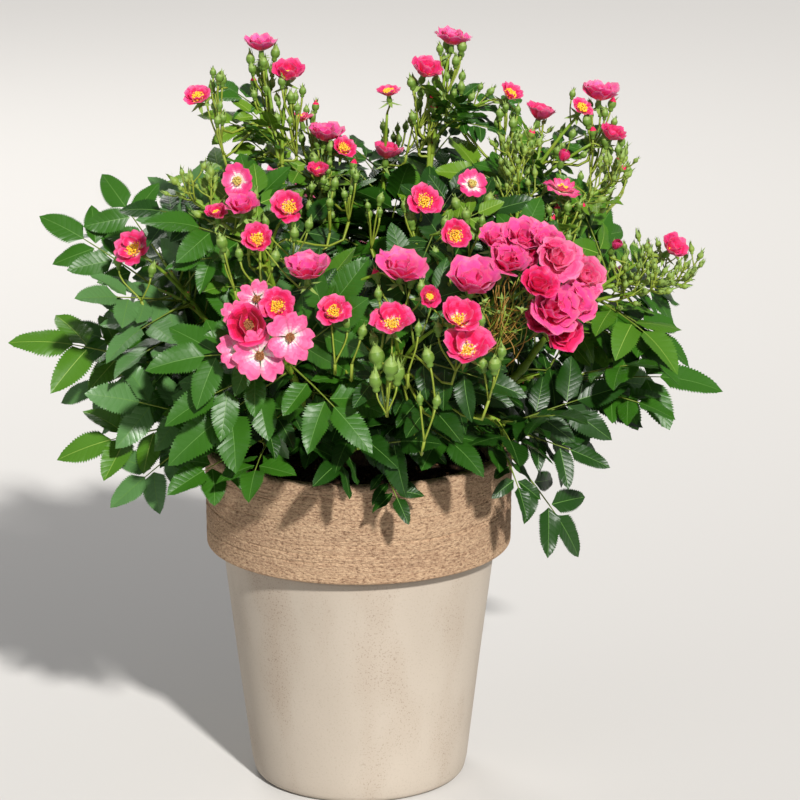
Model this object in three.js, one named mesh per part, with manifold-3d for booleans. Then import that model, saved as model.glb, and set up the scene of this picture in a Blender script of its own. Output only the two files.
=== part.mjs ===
// A rose bush in full flower, standing in a two-tone clay pot.
// Millimetres, +Z up. The origin is the centre of the pot's flat underside.
// Seen from the front, +X is to the right and +Y is away.
import * as THREE from 'three';
import { mergeVertices } from 'three/addons/utils/BufferGeometryUtils.js';
import Module from 'manifold-3d';

const wasm = await Module();
wasm.setup();

// Clearance between pieces that touch
const GAP = 0.3;

// Pot: a thick straight band above a tapering body
const POT_HEIGHT = 334.6;
const RIM_RADIUS = 150;
const BAND_HEIGHT = 97;
const BAND_FOOT_RADIUS = 149;
const NECK_RADIUS = 134;
const BASE_RADIUS = 105.3;
const RIM_WALL = 14;
const BODY_WALL = 13;
const POT_FLOOR = 14;
const POT_SIDES = 36;
const LIP_ROUND = 5;
const BAND_ROUND = 6;
const BASE_ROUND = 7;
const ROUND_STEPS = 1;

// Compost: a low mound with a flat spot for the stem
const SOIL_EDGE = 309;
const SOIL_TOP = 317;
const SOIL_FLAT_RADIUS = 42;

// Stem: a short knotted stock with a flare at the compost
const STEM_HEIGHT = 58;
const STEM_RADIUS = 16.5;
const STEM_RADII = [25, 18.5, STEM_RADIUS, 19, 13.5, 0];
const STEM_SHARES = [0, 0.16, 0.4, 0.72, 0.95, 1];
const STEM_LEAN = 4;
const STEM_SIDES = 10;
const STEM_LOBES = 3;
const STEM_LOBE_DEPTH = 0.1;
const STEM_FOOT = SOIL_TOP + GAP;

// Boughs: canes from the stem, and side canes from those
const CANE_RADIUS = 5.4;
const CANE_TIP_RADIUS = 3.6;
const SIDE_CANE_RADIUS = 4.2;
const SIDE_CANE_TIP_RADIUS = 3.1;
const CANE_SIDES = 5;
const CANE_STEPS = 5;
const LOW_RING = 20;
const HIGH_RING = 42;
const LOW_RISE = 0.9;
const HIGH_RISE = 1.9;
const BOUGH_REACH = 0.38;

// Shoots: a mass starts with one, and side shoots leave it for the other tips
const TWIG_TIP_RADIUS = 1.3;
const TWIG_SIDES = 3;
const SHOOT_STEPS = 3;
const TWIG_STEPS = 2;
const SHOOT_RISE = 0.55;
const SHOOT_BEND = 0.5;
const SIDE_SHOOT_BEND = 0.4;
const SIDE_SHOOT_START = 0.25;
const SIDE_SHOOT_SPREAD = 0.4;
const SIDE_SHOOT_RADIUS = 0.7;
const SHORTEST_SHOOT = 0.3;

// Leaf: pairs of leaflets and an end one on a flat stalk
const LEAF_LENGTH = 152;
const LEAF_PAIRS = 2;
const LEAF_THICKNESS = 2.6;
const LEAF_SINK = 3;
const LEAF_ARCH = 420;
const STALK_HALF_WIDTH = 1.7;
const FIRST_PAIR = 0.27;
const PAIR_STEP = 0.28;
const END_STEP = 0.42;
const LEAFLET_SHARE = 0.42;
const LEAFLET_WIDTH = 42;
const LEAFLET_BELLY = 0.42;
const LEAFLET_FOOT = 3;
const LEAFLET_FOLD = 4;
const LEAFLET_SWEEP = THREE.MathUtils.degToRad(60);
const END_LEAFLET_BELLY = 0.45;
const SHORT_LEAF = 0.74;
const SHORT_LEAF_GROWTH = 0.35;

// How leaves sit on a shoot: where, how they lean, how their upper face tilts, and their sizes
const GOLDEN_ANGLE = THREE.MathUtils.degToRad(137.5);
const LEAF_TRIES = 140;
const LEAF_START = 0.12;
const LEAF_SPREAD = 0.6;
const LEAF_FORWARD = 0.35;
const LEAF_OUTWARD = 0.5;
const LEAF_TILT = 1.1;
const TIP_LEAF_TILT = 0.9;
const LARGEST_LEAF = 1.05;
const LEAF_SHRINK = 0.45;
const SEED_STEP = 7919;
const SEED_START = 17;

// Blossom
const BLOOM_RADIUS = 23;
const BLOOM_NOTCH = 0.72;
const BLOOM_DEPTH = 11;
const BLOOM_HEART = 5;
const BLOOM_SINK = 3;
const BLOOM_OFFSET = 6.5;
const PETALS = 5;
const BUD_REACH = 36;
const BUD_RADII = [1.2, 1.2, 5, 0];
const BUDS = { bloom: 0, bud: 2, leaf: 0 };
const BUD_PLACE = 0.8;
const BUD_STEP = 0.1;
const BUD_SPREAD = 0.8;
const BUD_RISE = 0.3;

// Room kept round limbs, pot and neighbouring masses
const LIMB_ROOM = 0.6;
const POT_ROOM = 2.5;
const SPACE_MARGIN = 3;
const SPAN_STEPS = 5;

// Crown: leaves other than the named tips stay inside this ellipsoid
const CROWN_CENTRE = new THREE.Vector3(0, 0, 470);
const CROWN_RADII = new THREE.Vector3(345, 295, 245);

const UP = new THREE.Vector3(0, 0, 1);
const HEART = new THREE.Vector3(0, 0, 400);

// Masses of foliage. Each row gives the cane that carries the mass, the ring of the stem or
// the share of the carrying cane where its own cane starts, the foot where the mass begins,
// the count of leaves, and the tips of its shoots: bloom, bud or leaf at a real place.
const MASSES = [
  { name: 'left', ring: 'low', foot: [-128, -28, 433], leaves: 2, tips: [
    ['bloom', -211, -80, 548], ['leaf', -300, 0, 565], ['leaf', -246, 20, 600]] },
  { name: 'front_left', ring: 'high', foot: [-52, -120, 413], leaves: 3, tips: [
    ['bloom', -91, -240, 494], ['bloom', -73, -222, 532], ['bloom', -52, -236, 502]] },
  { name: 'front', ring: 'low', foot: [42, -128, 405], leaves: 3, tips: [
    ['bloom', 30, -232, 514], ['bloom', 90, -242, 517], ['bud', 28, -252, 464]] },
  { name: 'cluster', ring: 'high', foot: [92, -98, 425], leaves: 3, tips: [
    ['bloom', 160, -190, 556], ['bloom', 128, -176, 582], ['bloom', 108, -204, 549],
    ['bloom', 187, -200, 502]] },
  { name: 'right', ring: 'low', foot: [164, -28, 425], leaves: 3, tips: [
    ['bloom', 300, -40, 539], ['bud', 282, -62, 500], ['bud', 318, -20, 495]] },
  { name: 'top_right', ring: 'high', foot: [60, 28, 521], leaves: 3, tips: [
    ['bloom', 92, 60, 724], ['bloom', 66, 40, 697], ['bloom', 146, 18, 676]] },
  { name: 'back_right', ring: 'low', foot: [88, 92, 449], leaves: 4, tips: [
    ['bloom', 160, 170, 600], ['bloom', 215, 150, 560], ['bud', 120, 225, 545]] },
  { name: 'back', ring: 'high', foot: [-12, 112, 453], leaves: 3, tips: [
    ['bloom', -30, 205, 615], ['bloom', 20, 215, 590], ['bloom', -75, 240, 545]] },
  { name: 'back_left', ring: 'low', foot: [-96, 74, 449], leaves: 3, tips: [
    ['bloom', -200, 145, 580], ['bloom', -150, 185, 600], ['leaf', -280, 105, 530]] },
  { name: 'top_left', ring: 'high', foot: [-66, 4, 521], leaves: 3, tips: [
    ['bloom', -92, 40, 722], ['bloom', -66, 18, 698], ['bud', -140, -22, 690]] },
  { name: 'left_tip', from: 'left', share: 0.62, foot: [-136, 4, 399], leaves: 3, tips: [
    ['leaf', -328, -20, 453], ['leaf', -290, 55, 440]] },
  { name: 'left_low', from: 'left', share: 0.5, foot: [-110, -58, 383], leaves: 3, tips: [
    ['leaf', -283, -90, 352], ['leaf', -232, -118, 308]] },
  { name: 'left_middle', from: 'left', share: 0.4, foot: [-70, -66, 465], leaves: 3, tips: [
    ['bloom', -106, -130, 600], ['bloom', -158, -112, 606], ['bloom', -64, -122, 596],
    ['bloom', -92, -158, 570]] },
  { name: 'front_left_low', from: 'front_left', share: 0.45, foot: [-74, -94, 375], leaves: 3, tips: [
    ['leaf', -170, -200, 350], ['leaf', -100, -238, 362]] },
  { name: 'front_middle', from: 'front_left', share: 0.6, foot: [-11, -102, 439], leaves: 4, tips: [
    ['bloom', -44, -190, 553], ['bloom', -22, -212, 519], ['bloom', 40, -190, 553]] },
  { name: 'front_low', from: 'front', share: 0.5, foot: [8, -102, 372], leaves: 4, tips: [
    ['leaf', 44, -196, 318], ['leaf', -34, -226, 368]] },
  { name: 'upper_middle', from: 'cluster', share: 0.55, foot: [46, -50, 477], leaves: 4, tips: [
    ['bloom', 62, -118, 600], ['bloom', 106, -98, 612], ['bloom', 70, -155, 578]] },
  { name: 'right_low', from: 'cluster', share: 0.42, foot: [108, -74, 381], leaves: 1, tips: [
    ['leaf', 236, -110, 345], ['leaf', 214, -62, 240], ['leaf', 158, -150, 306]] },
  { name: 'right_tip', from: 'right', share: 0.6, foot: [152, 0, 395], leaves: 3, tips: [
    ['leaf', 345, -28, 410], ['leaf', 300, -78, 388]] },
  { name: 'right_shoulder', from: 'right', share: 0.5, foot: [120, -50, 461], leaves: 3, tips: [
    ['bloom', 192, -60, 600], ['bud', 152, -40, 630], ['bud', 254, -30, 602]] },
  { name: 'upper_right', from: 'top_right', share: 0.55, foot: [120, 20, 501], leaves: 4, tips: [
    ['bloom', 232, 20, 678], ['bloom', 245, -2, 640], ['bloom', 180, 62, 654]] },
  { name: 'back_top', from: 'top_right', share: 0.7, foot: [22, 67, 509], leaves: 3, tips: [
    ['bloom', 31, 100, 664], ['bloom', 36, 130, 620]] },
  { name: 'right_back', from: 'back_right', share: 0.55, foot: [132, 60, 413], leaves: 2, tips: [
    ['bloom', 272, 110, 500], ['leaf', 308, 100, 442], ['leaf', 250, 180, 395]] },
  { name: 'back_right_low', from: 'back_right', share: 0.42, foot: [74, 102, 387], leaves: 3, tips: [
    ['leaf', 95, 262, 385], ['leaf', 190, 205, 345]] },
  { name: 'back_low', from: 'back', share: 0.5, foot: [-38, 110, 391], leaves: 2, tips: [
    ['bloom', -28, 262, 450], ['leaf', -110, 250, 370], ['leaf', -30, 240, 325]] },
  { name: 'back_left_low', from: 'back_left', share: 0.5, foot: [-108, 66, 393], leaves: 4, tips: [
    ['leaf', -285, 118, 395], ['leaf', -200, 215, 360]] },
  { name: 'inner_left', from: 'top_left', share: 0.7, foot: [-28, 40, 509], leaves: 3, tips: [
    ['bloom', -48, 66, 650], ['bloom', -14, 34, 628], ['bloom', -38, 20, 602]] },
];

// Colour, roughness and metalness of each kind of piece
const FINISH = {
  pot: [0xc9b394, 0.9],
  soil: [0x3a2a1e, 1],
  stem: [0x6b5334, 0.85],
  bough: [0x7d8a3c, 0.7],
  foliage: [0x2f6b2c, 0.45],
};

function vector(x, y, z) {
  return new THREE.Vector3(x, y, z);
}

function seeded(seed) {
  let state = seed;
  return () => {
    state = (Math.imul(state, 1664525) + 1013904223) >>> 0;
    return state / 4294967296;
  };
}

// A geometry whose shared corners are one vertex, ready to be bent
function welded(geometry) {
  geometry.deleteAttribute('normal');
  geometry.deleteAttribute('uv');
  return mergeVertices(geometry, 1e-4);
}

// A welded closed geometry as a solid, and a solid as a geometry
function solid(geometry) {
  const vertProperties = Float32Array.from(geometry.attributes.position.array);
  const triVerts = Uint32Array.from(geometry.index.array);
  return new wasm.Manifold(new wasm.Mesh({ numProp: 3, vertProperties, triVerts }));
}

function geometryOf(body) {
  const mesh = body.getMesh();
  const geometry = new THREE.BufferGeometry();
  geometry.setAttribute('position', new THREE.BufferAttribute(Float32Array.from(mesh.vertProperties), 3));
  geometry.setIndex(new THREE.BufferAttribute(Uint32Array.from(mesh.triVerts), 1));
  geometry.computeVertexNormals();
  return geometry;
}

function union(bodies) {
  return bodies.reduce((whole, body) => whole.add(body));
}

function largestPart(body) {
  return body.decompose().reduce((best, part) => (part.volume() > best.volume() ? part : best));
}

function turned(profile, sides) {
  return welded(new THREE.LatheGeometry(profile, sides).rotateX(Math.PI / 2));
}

// Points of a quarter round from one angle to another about a centre, in degrees
function rounded(radius, height, round, from, to) {
  const arc = new THREE.Path();
  const start = THREE.MathUtils.degToRad(from);
  const end = THREE.MathUtils.degToRad(to);
  arc.absarc(radius, height, round, start, end, end < start);
  return arc.getPoints(ROUND_STEPS);
}

// Pot

function innerRadius(height) {
  const neck = POT_HEIGHT - BAND_HEIGHT;
  const atNeck = NECK_RADIUS - BODY_WALL;
  if (height > neck) {
    return THREE.MathUtils.mapLinear(height, neck, POT_HEIGHT, atNeck, RIM_RADIUS - RIM_WALL);
  }
  return THREE.MathUtils.mapLinear(height, 0, neck, BASE_RADIUS - BODY_WALL, atNeck);
}

function potOutside(grow) {
  const neck = POT_HEIGHT - BAND_HEIGHT;
  return [
    new THREE.Vector2(0, -grow),
    ...rounded(BASE_RADIUS - BASE_ROUND, BASE_ROUND, BASE_ROUND + grow, -90, 0),
    new THREE.Vector2(NECK_RADIUS + grow, neck - BAND_ROUND / 2),
    ...rounded(BAND_FOOT_RADIUS - BAND_ROUND, neck + BAND_ROUND, BAND_ROUND + grow, -90, 0),
    ...rounded(RIM_RADIUS - LIP_ROUND, POT_HEIGHT - LIP_ROUND, LIP_ROUND + grow, 0, 90),
  ];
}

function pot() {
  const lipInside = RIM_RADIUS - RIM_WALL + LIP_ROUND;
  const profile = [
    ...potOutside(0),
    ...rounded(lipInside, POT_HEIGHT - LIP_ROUND, LIP_ROUND, 90, 180),
    new THREE.Vector2(innerRadius(POT_HEIGHT - BAND_HEIGHT), POT_HEIGHT - BAND_HEIGHT),
    new THREE.Vector2(innerRadius(POT_FLOOR), POT_FLOOR),
    new THREE.Vector2(0, POT_FLOOR),
  ];
  return solid(turned(profile, POT_SIDES));
}

function soil() {
  const neck = POT_HEIGHT - BAND_HEIGHT;
  const floor = POT_FLOOR + GAP;
  const profile = [
    new THREE.Vector2(0, floor),
    new THREE.Vector2(innerRadius(floor) - GAP, floor),
    new THREE.Vector2(innerRadius(neck) - GAP, neck),
    new THREE.Vector2(innerRadius(SOIL_EDGE) - GAP, SOIL_EDGE),
    new THREE.Vector2(SOIL_FLAT_RADIUS, SOIL_TOP),
    new THREE.Vector2(0, SOIL_TOP),
  ];
  return solid(turned(profile, POT_SIDES));
}

// Stem

function stemCentre(height) {
  return vector((STEM_LEAN * height) / STEM_HEIGHT, 0, STEM_FOOT + height);
}

function stem(grow = 0) {
  const profile = [new THREE.Vector2(0, -grow)];
  STEM_SHARES.forEach((share, i) => {
    const radius = STEM_RADII[i] > 0 ? STEM_RADII[i] + grow : 0;
    profile.push(new THREE.Vector2(radius, THREE.MathUtils.lerp(-grow, STEM_HEIGHT + grow, share)));
  });
  const geometry = turned(profile, STEM_SIDES);
  const place = geometry.attributes.position;
  for (let i = 0; i < place.count; i += 1) {
    const angle = Math.atan2(place.getY(i), place.getX(i));
    const height = place.getZ(i);
    const lobe = 1 + STEM_LOBE_DEPTH * Math.cos(STEM_LOBES * angle + height / STEM_RADIUS);
    const centre = stemCentre(Math.max(height, 0));
    place.setXYZ(i, centre.x + place.getX(i) * lobe, place.getY(i) * lobe, STEM_FOOT + height);
  }
  return solid(geometry);
}

// A limb: a tube along a curve, closed at both ends, whose radius follows evenly spaced values
function limb(curve, radii, sides, steps, grow = 0) {
  const pointed = radii.at(-1) === 0;
  const geometry = welded(new THREE.CylinderGeometry(pointed ? 0 : 1, 1, 1, sides, steps));
  const frames = curve.computeFrenetFrames(steps, false);
  const place = geometry.attributes.position;
  const spoke = new THREE.Vector2();
  for (let i = 0; i < place.count; i += 1) {
    const share = place.getY(i) + 0.5;
    const step = Math.round(share * steps);
    const between = share * (radii.length - 1);
    const before = Math.min(Math.floor(between), radii.length - 2);
    const radius = THREE.MathUtils.lerp(radii[before], radii[before + 1], between - before) + grow;
    spoke.set(place.getZ(i), place.getX(i)).normalize().multiplyScalar(radius);
    const point = curve.getPointAt(step / steps);
    point.addScaledVector(frames.normals[step], spoke.x);
    point.addScaledVector(frames.binormals[step], spoke.y);
    place.setXYZ(i, point.x, point.y, point.z);
  }
  return solid(geometry);
}

// Boughs

function headingOf(mass) {
  const foot = vector(...mass.foot);
  const [, ...head] = mass.tips[0];
  return vector(...head).sub(foot).normalize().addScaledVector(UP, SHOOT_RISE).normalize();
}

function boughCurve(mass, curves) {
  const foot = vector(...mass.foot);
  const outward = vector(foot.x, foot.y, 0).normalize();
  let root = null;
  let start = null;
  if (mass.ring) {
    root = stemCentre(mass.ring === 'low' ? LOW_RING : HIGH_RING);
    start = outward.addScaledVector(UP, mass.ring === 'low' ? LOW_RISE : HIGH_RISE).normalize();
  } else {
    const carrier = curves.get(mass.from);
    root = carrier.getPointAt(mass.share);
    start = carrier.getTangentAt(mass.share).add(foot.clone().sub(root).normalize()).normalize();
  }
  const reach = BOUGH_REACH * foot.distanceTo(root);
  return new THREE.CubicBezierCurve3(
    root,
    root.clone().addScaledVector(start, reach),
    foot.clone().addScaledVector(headingOf(mass), -reach),
    foot,
  );
}

function boughRadii(mass) {
  return mass.ring ? [CANE_RADIUS, CANE_TIP_RADIUS] : [SIDE_CANE_RADIUS, SIDE_CANE_TIP_RADIUS];
}

// Shoots of a mass: the main one from its foot to the first tip, and a side one to each other tip

function shootEnd(start, [kind, ...place]) {
  const tip = vector(...place);
  if (kind !== 'leaf') {
    return tip;
  }
  const length = tip.distanceTo(start);
  return start.clone().lerp(tip, Math.max(SHORTEST_SHOOT, 1 - LEAF_LENGTH / length));
}

function shootsOf(mass) {
  const heading = headingOf(mass);
  const foot = vector(...mass.foot).addScaledVector(heading, GAP);
  const [first, ...others] = mass.tips;
  const end = shootEnd(foot, first);
  const bend = foot.clone().addScaledVector(heading, SHOOT_BEND * foot.distanceTo(end));
  const main = new THREE.QuadraticBezierCurve3(foot, bend, end);
  const shoots = [{ curve: main, radius: boughRadii(mass)[1], steps: SHOOT_STEPS, tip: first }];
  others.forEach((tip, i) => {
    const share = SIDE_SHOOT_START + (SIDE_SHOOT_SPREAD * i) / others.length;
    const root = main.getPointAt(share);
    const far = shootEnd(root, tip);
    const turn = root.clone();
    turn.addScaledVector(main.getTangentAt(share), SIDE_SHOOT_BEND * root.distanceTo(far));
    const curve = new THREE.QuadraticBezierCurve3(root, turn, far);
    const radius = SIDE_SHOOT_RADIUS * boughRadii(mass)[1];
    shoots.push({ curve, radius, steps: TWIG_STEPS, tip });
  });
  return shoots;
}

// Leaves and blossom

// A frame of three unit vectors whose first is the given direction
function basis(along, towards) {
  const side = towards.clone().cross(along).normalize();
  return new THREE.Matrix4().makeBasis(along, side, along.clone().cross(side));
}

// The edge of one leaflet on the left of the stalk, from its inner side round its point
function leafletEdge(foot, size) {
  const axis = new THREE.Vector2(Math.cos(LEAFLET_SWEEP), Math.sin(LEAFLET_SWEEP));
  const belly = axis.clone().multiplyScalar(LEAFLET_BELLY * size * LEAFLET_SHARE);
  const point = axis.clone().multiplyScalar(size * LEAFLET_SHARE);
  const side = axis.clone().rotateAround(new THREE.Vector2(), Math.PI / 2);
  side.multiplyScalar((LEAFLET_WIDTH * size) / LEAF_LENGTH / 2);
  return [
    [foot - LEAFLET_FOOT, STALK_HALF_WIDTH, 0],
    [foot + belly.x + side.x, STALK_HALF_WIDTH + belly.y + side.y, -LEAFLET_FOLD],
    [foot + point.x, STALK_HALF_WIDTH + point.y, 0],
    [foot + belly.x - side.x, STALK_HALF_WIDTH + belly.y - side.y, -LEAFLET_FOLD],
    [foot + LEAFLET_FOOT, STALK_HALF_WIDTH, 0],
  ];
}

// A leaf along +X: a closed edge line, with ridge points on the stalk above and below it
function leafGeometry(length, pairs) {
  const size = (length * LEAF_PAIRS) / (LEAF_PAIRS + SHORT_LEAF_GROWTH * (LEAF_PAIRS - pairs));
  const rows = [{ ridge: -LEAF_SINK, edge: [[-LEAF_SINK, STALK_HALF_WIDTH, 0]] }];
  for (let i = 0; i < pairs; i += 1) {
    const foot = (FIRST_PAIR + PAIR_STEP * i) * size;
    rows.push({ ridge: foot, edge: leafletEdge(foot, size) });
  }
  const end = (FIRST_PAIR + END_STEP + PAIR_STEP * (pairs - LEAF_PAIRS)) * size;
  const belly = end + END_LEAFLET_BELLY * (length - end);
  const halfWidth = (LEAFLET_WIDTH * size) / LEAF_LENGTH / 2;
  rows.push({ ridge: end, edge: [[end, STALK_HALF_WIDTH, 0], [belly, halfWidth, -LEAFLET_FOLD]] });

  const corners = [];
  const faces = [];
  const corner = (x, y, z) => corners.push([x, y, z - (x * x) / 2 / LEAF_ARCH]) - 1;
  const tip = corner(length, 0, 0);
  const ridgeRow = (rise) => rows.map(({ ridge }) => corner(ridge, 0, rise));
  const edgeRow = (side) => rows.map(({ edge }) => edge.map(([x, y, z]) => corner(x, side * y, z)));
  const ridges = [ridgeRow(LEAF_THICKNESS / 2), ridgeRow(-LEAF_THICKNESS / 2)];
  const edges = [edgeRow(1), edgeRow(-1)];
  edges.forEach((sideEdges, side) => {
    sideEdges.at(-1).push(tip);
    ridges.forEach((ridge, face) => {
      const add = (a, b, c) => faces.push(side === face ? [a, c, b] : [a, b, c]);
      sideEdges.forEach((edge, row) => {
        if (row > 0) {
          add(ridge[row - 1], sideEdges[row - 1].at(-1), edge[0]);
          add(ridge[row - 1], edge[0], ridge[row]);
        }
        for (let i = 1; i < edge.length; i += 1) {
          add(ridge[row], edge[i - 1], edge[i]);
        }
      });
    });
  });
  faces.push([ridges[0][0], edges[0][0][0], ridges[1][0]]);
  faces.push([ridges[0][0], ridges[1][0], edges[1][0][0]]);

  const geometry = new THREE.BufferGeometry();
  geometry.setAttribute('position', new THREE.Float32BufferAttribute(corners.flat(), 3));
  geometry.setIndex(faces.flat());
  return geometry;
}

function bloom(centre, facing) {
  const profile = [
    new THREE.Vector2(0, -BLOOM_SINK),
    new THREE.Vector2(BLOOM_RADIUS, BLOOM_DEPTH),
    new THREE.Vector2(0, BLOOM_HEART),
  ];
  const geometry = turned(profile, 2 * PETALS);
  const place = geometry.attributes.position;
  for (let i = 0; i < place.count; i += 1) {
    const turn = (Math.atan2(place.getY(i), place.getX(i)) / Math.PI) * PETALS + 0.5;
    const notch = Math.abs(Math.round(turn)) % 2 === 1 ? BLOOM_NOTCH : 1;
    place.setXY(i, place.getX(i) * notch, place.getY(i) * notch);
  }
  geometry.translate(BLOOM_OFFSET, 0, -BLOOM_SINK);
  const tilt = new THREE.Quaternion().setFromUnitVectors(UP, facing);
  geometry.applyQuaternion(tilt).translate(centre.x, centre.y, centre.z);
  return geometry;
}

// Spaces: a point belongs to the mass whose shoots are nearest

function spanOf(mass, index) {
  const spans = [];
  for (const { curve, tip } of shootsOf(mass)) {
    const points = curve.getSpacedPoints(SPAN_STEPS);
    points.push(vector(...tip.slice(1)));
    for (let i = 1; i < points.length; i += 1) {
      spans.push({ index, line: new THREE.Line3(points[i - 1], points[i]) });
    }
  }
  return spans;
}

function inOwnSpace(points, index, spans) {
  const nearest = vector(0, 0, 0);
  return points.every((point) => {
    let own = Infinity;
    let other = Infinity;
    for (const span of spans) {
      span.line.closestPointToPoint(point, true, nearest);
      const distance = nearest.distanceTo(point);
      if (span.index === index) {
        own = Math.min(own, distance);
      } else {
        other = Math.min(other, distance);
      }
    }
    return own + SPACE_MARGIN < other;
  });
}

function inCrown(point) {
  return point.clone().sub(CROWN_CENTRE).divide(CROWN_RADII).length() < 1;
}

// The corners of a geometry and the middles of its edges
function samplesOf(geometry) {
  const place = geometry.attributes.position;
  const corners = [];
  for (let i = 0; i < place.count; i += 1) {
    corners.push(vector(place.getX(i), place.getY(i), place.getZ(i)));
  }
  const middles = corners.map((corner, i) => corner.clone().lerp(corners[(i + 1) % corners.length], 0.5));
  return [...corners, ...middles];
}

function massBody(mass, index, spans, blocked) {
  const random = seeded(index * SEED_STEP + SEED_START);
  const shoots = shootsOf(mass);
  const twigs = [];
  const foliage = [];
  const grow = (geometry, corners) => {
    if (!inOwnSpace(corners, index, spans)) {
      return false;
    }
    const body = solid(geometry);
    if ([blocked, ...foliage].some((other) => !body.intersect(other).isEmpty())) {
      return false;
    }
    foliage.push(body);
    return true;
  };
  const growLeaf = (root, along, towards, length, isTip) => {
    for (let pairs = LEAF_PAIRS; pairs > 0; pairs -= 1) {
      const reach = pairs === LEAF_PAIRS ? length : SHORT_LEAF * length;
      const leaf = leafGeometry(reach, pairs).applyMatrix4(basis(along, towards).setPosition(root));
      const corners = samplesOf(leaf);
      if ((isTip || corners.every(inCrown)) && grow(leaf, corners)) {
        return true;
      }
    }
    return false;
  };
  for (const { curve, radius, steps, tip } of shoots) {
    twigs.push(limb(curve, [radius, TWIG_TIP_RADIUS], TWIG_SIDES, steps));
    const end = curve.getPointAt(1);
    const along = curve.getTangentAt(1);
    const outward = end.clone().sub(HEART).normalize();
    const [kind, ...place] = tip;
    if (kind === 'leaf') {
      const reach = vector(...place).sub(end);
      const length = reach.length();
      const towards = UP.clone().addScaledVector(outward, TIP_LEAF_TILT).normalize();
      reach.addScaledVector(towards, (length * length) / 2 / LEAF_ARCH);
      growLeaf(end, reach.normalize(), towards, length, true);
    }
    if (kind === 'bloom') {
      const flower = bloom(end, along.clone().add(outward).normalize());
      grow(flower, samplesOf(flower));
    }
    const buds = BUDS[kind];
    for (let i = 0; i < buds; i += 1) {
      const angle = i * GOLDEN_ANGLE + random();
      const around = along.clone().cross(outward).normalize().applyAxisAngle(along, angle);
      const budAlong = along.clone().addScaledVector(around, BUD_SPREAD);
      budAlong.addScaledVector(UP, BUD_RISE).normalize();
      const root = curve.getPointAt(BUD_PLACE - BUD_STEP * i);
      const line = new THREE.LineCurve3(root, root.clone().addScaledVector(budAlong, BUD_REACH));
      if (inOwnSpace([line.v2], index, spans)) {
        twigs.push(limb(line, BUD_RADII, TWIG_SIDES, BUD_RADII.length - 1));
      }
    }
  }
  let leaves = 0;
  for (let i = 0; i < LEAF_TRIES && leaves < mass.leaves; i += 1) {
    const { curve } = shoots[i % shoots.length];
    const share = LEAF_START + LEAF_SPREAD * random();
    const root = curve.getPointAt(share);
    const tangent = curve.getTangentAt(share);
    const outward = root.clone().sub(HEART).normalize();
    const angle = i * GOLDEN_ANGLE + random();
    const around = tangent.clone().cross(UP).normalize().applyAxisAngle(tangent, angle);
    const along = around.addScaledVector(tangent, LEAF_FORWARD);
    along.addScaledVector(outward, LEAF_OUTWARD).normalize();
    const towards = UP.clone().addScaledVector(outward, LEAF_TILT);
    towards.addScaledVector(along, -towards.dot(along)).normalize();
    const length = LEAF_LENGTH * (LARGEST_LEAF - (LEAF_SHRINK * i) / LEAF_TRIES);
    if (growLeaf(root, along, towards, length, false)) {
      leaves += 1;
    }
  }
  return largestPart(union([...twigs, ...foliage]));
}

// Assembly

const group = new THREE.Group();

function add(name, kind, body) {
  const [color, roughness] = FINISH[kind];
  const material = new THREE.MeshStandardMaterial({ color, roughness, metalness: 0 });
  const mesh = new THREE.Mesh(geometryOf(body), material);
  mesh.name = name;
  group.add(mesh);
}

add('pot', 'pot', pot());
add('soil', 'soil', soil());
add('stem', 'stem', stem());

const curves = new Map();
const grownLimbs = [stem(LIMB_ROOM)];
for (const mass of MASSES) {
  const curve = boughCurve(mass, curves);
  curves.set(mass.name, curve);
  const carrier = MASSES.find((other) => other.name === mass.from);
  const seat = carrier
    ? limb(curves.get(carrier.name), boughRadii(carrier), CANE_SIDES, CANE_STEPS, GAP)
    : stem(GAP);
  const body = limb(curve, boughRadii(mass), CANE_SIDES, CANE_STEPS).subtract(seat);
  add(`bough_${mass.name}`, 'bough', largestPart(body));
  grownLimbs.push(limb(curve, boughRadii(mass), CANE_SIDES, CANE_STEPS, LIMB_ROOM));
}

const potBlock = [...potOutside(POT_ROOM), new THREE.Vector2(0, POT_HEIGHT + POT_ROOM)];
const blocked = union([solid(turned(potBlock, POT_SIDES)), ...grownLimbs]);
const spans = MASSES.flatMap(spanOf);
MASSES.forEach((mass, index) => {
  add(`foliage_${mass.name}`, 'foliage', massBody(mass, index, spans, blocked));
});

export default group;
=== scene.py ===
# A rose bush in full flower, standing in a two-tone clay pot.
# Metres, +Z up. The tables of places are in millimetres, and MM turns them into metres.
# Seen from the front, +X is to the right and +Y is away.
import math
from copy import copy

import bpy
import numpy as np
from mathutils import Matrix, Vector


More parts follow.
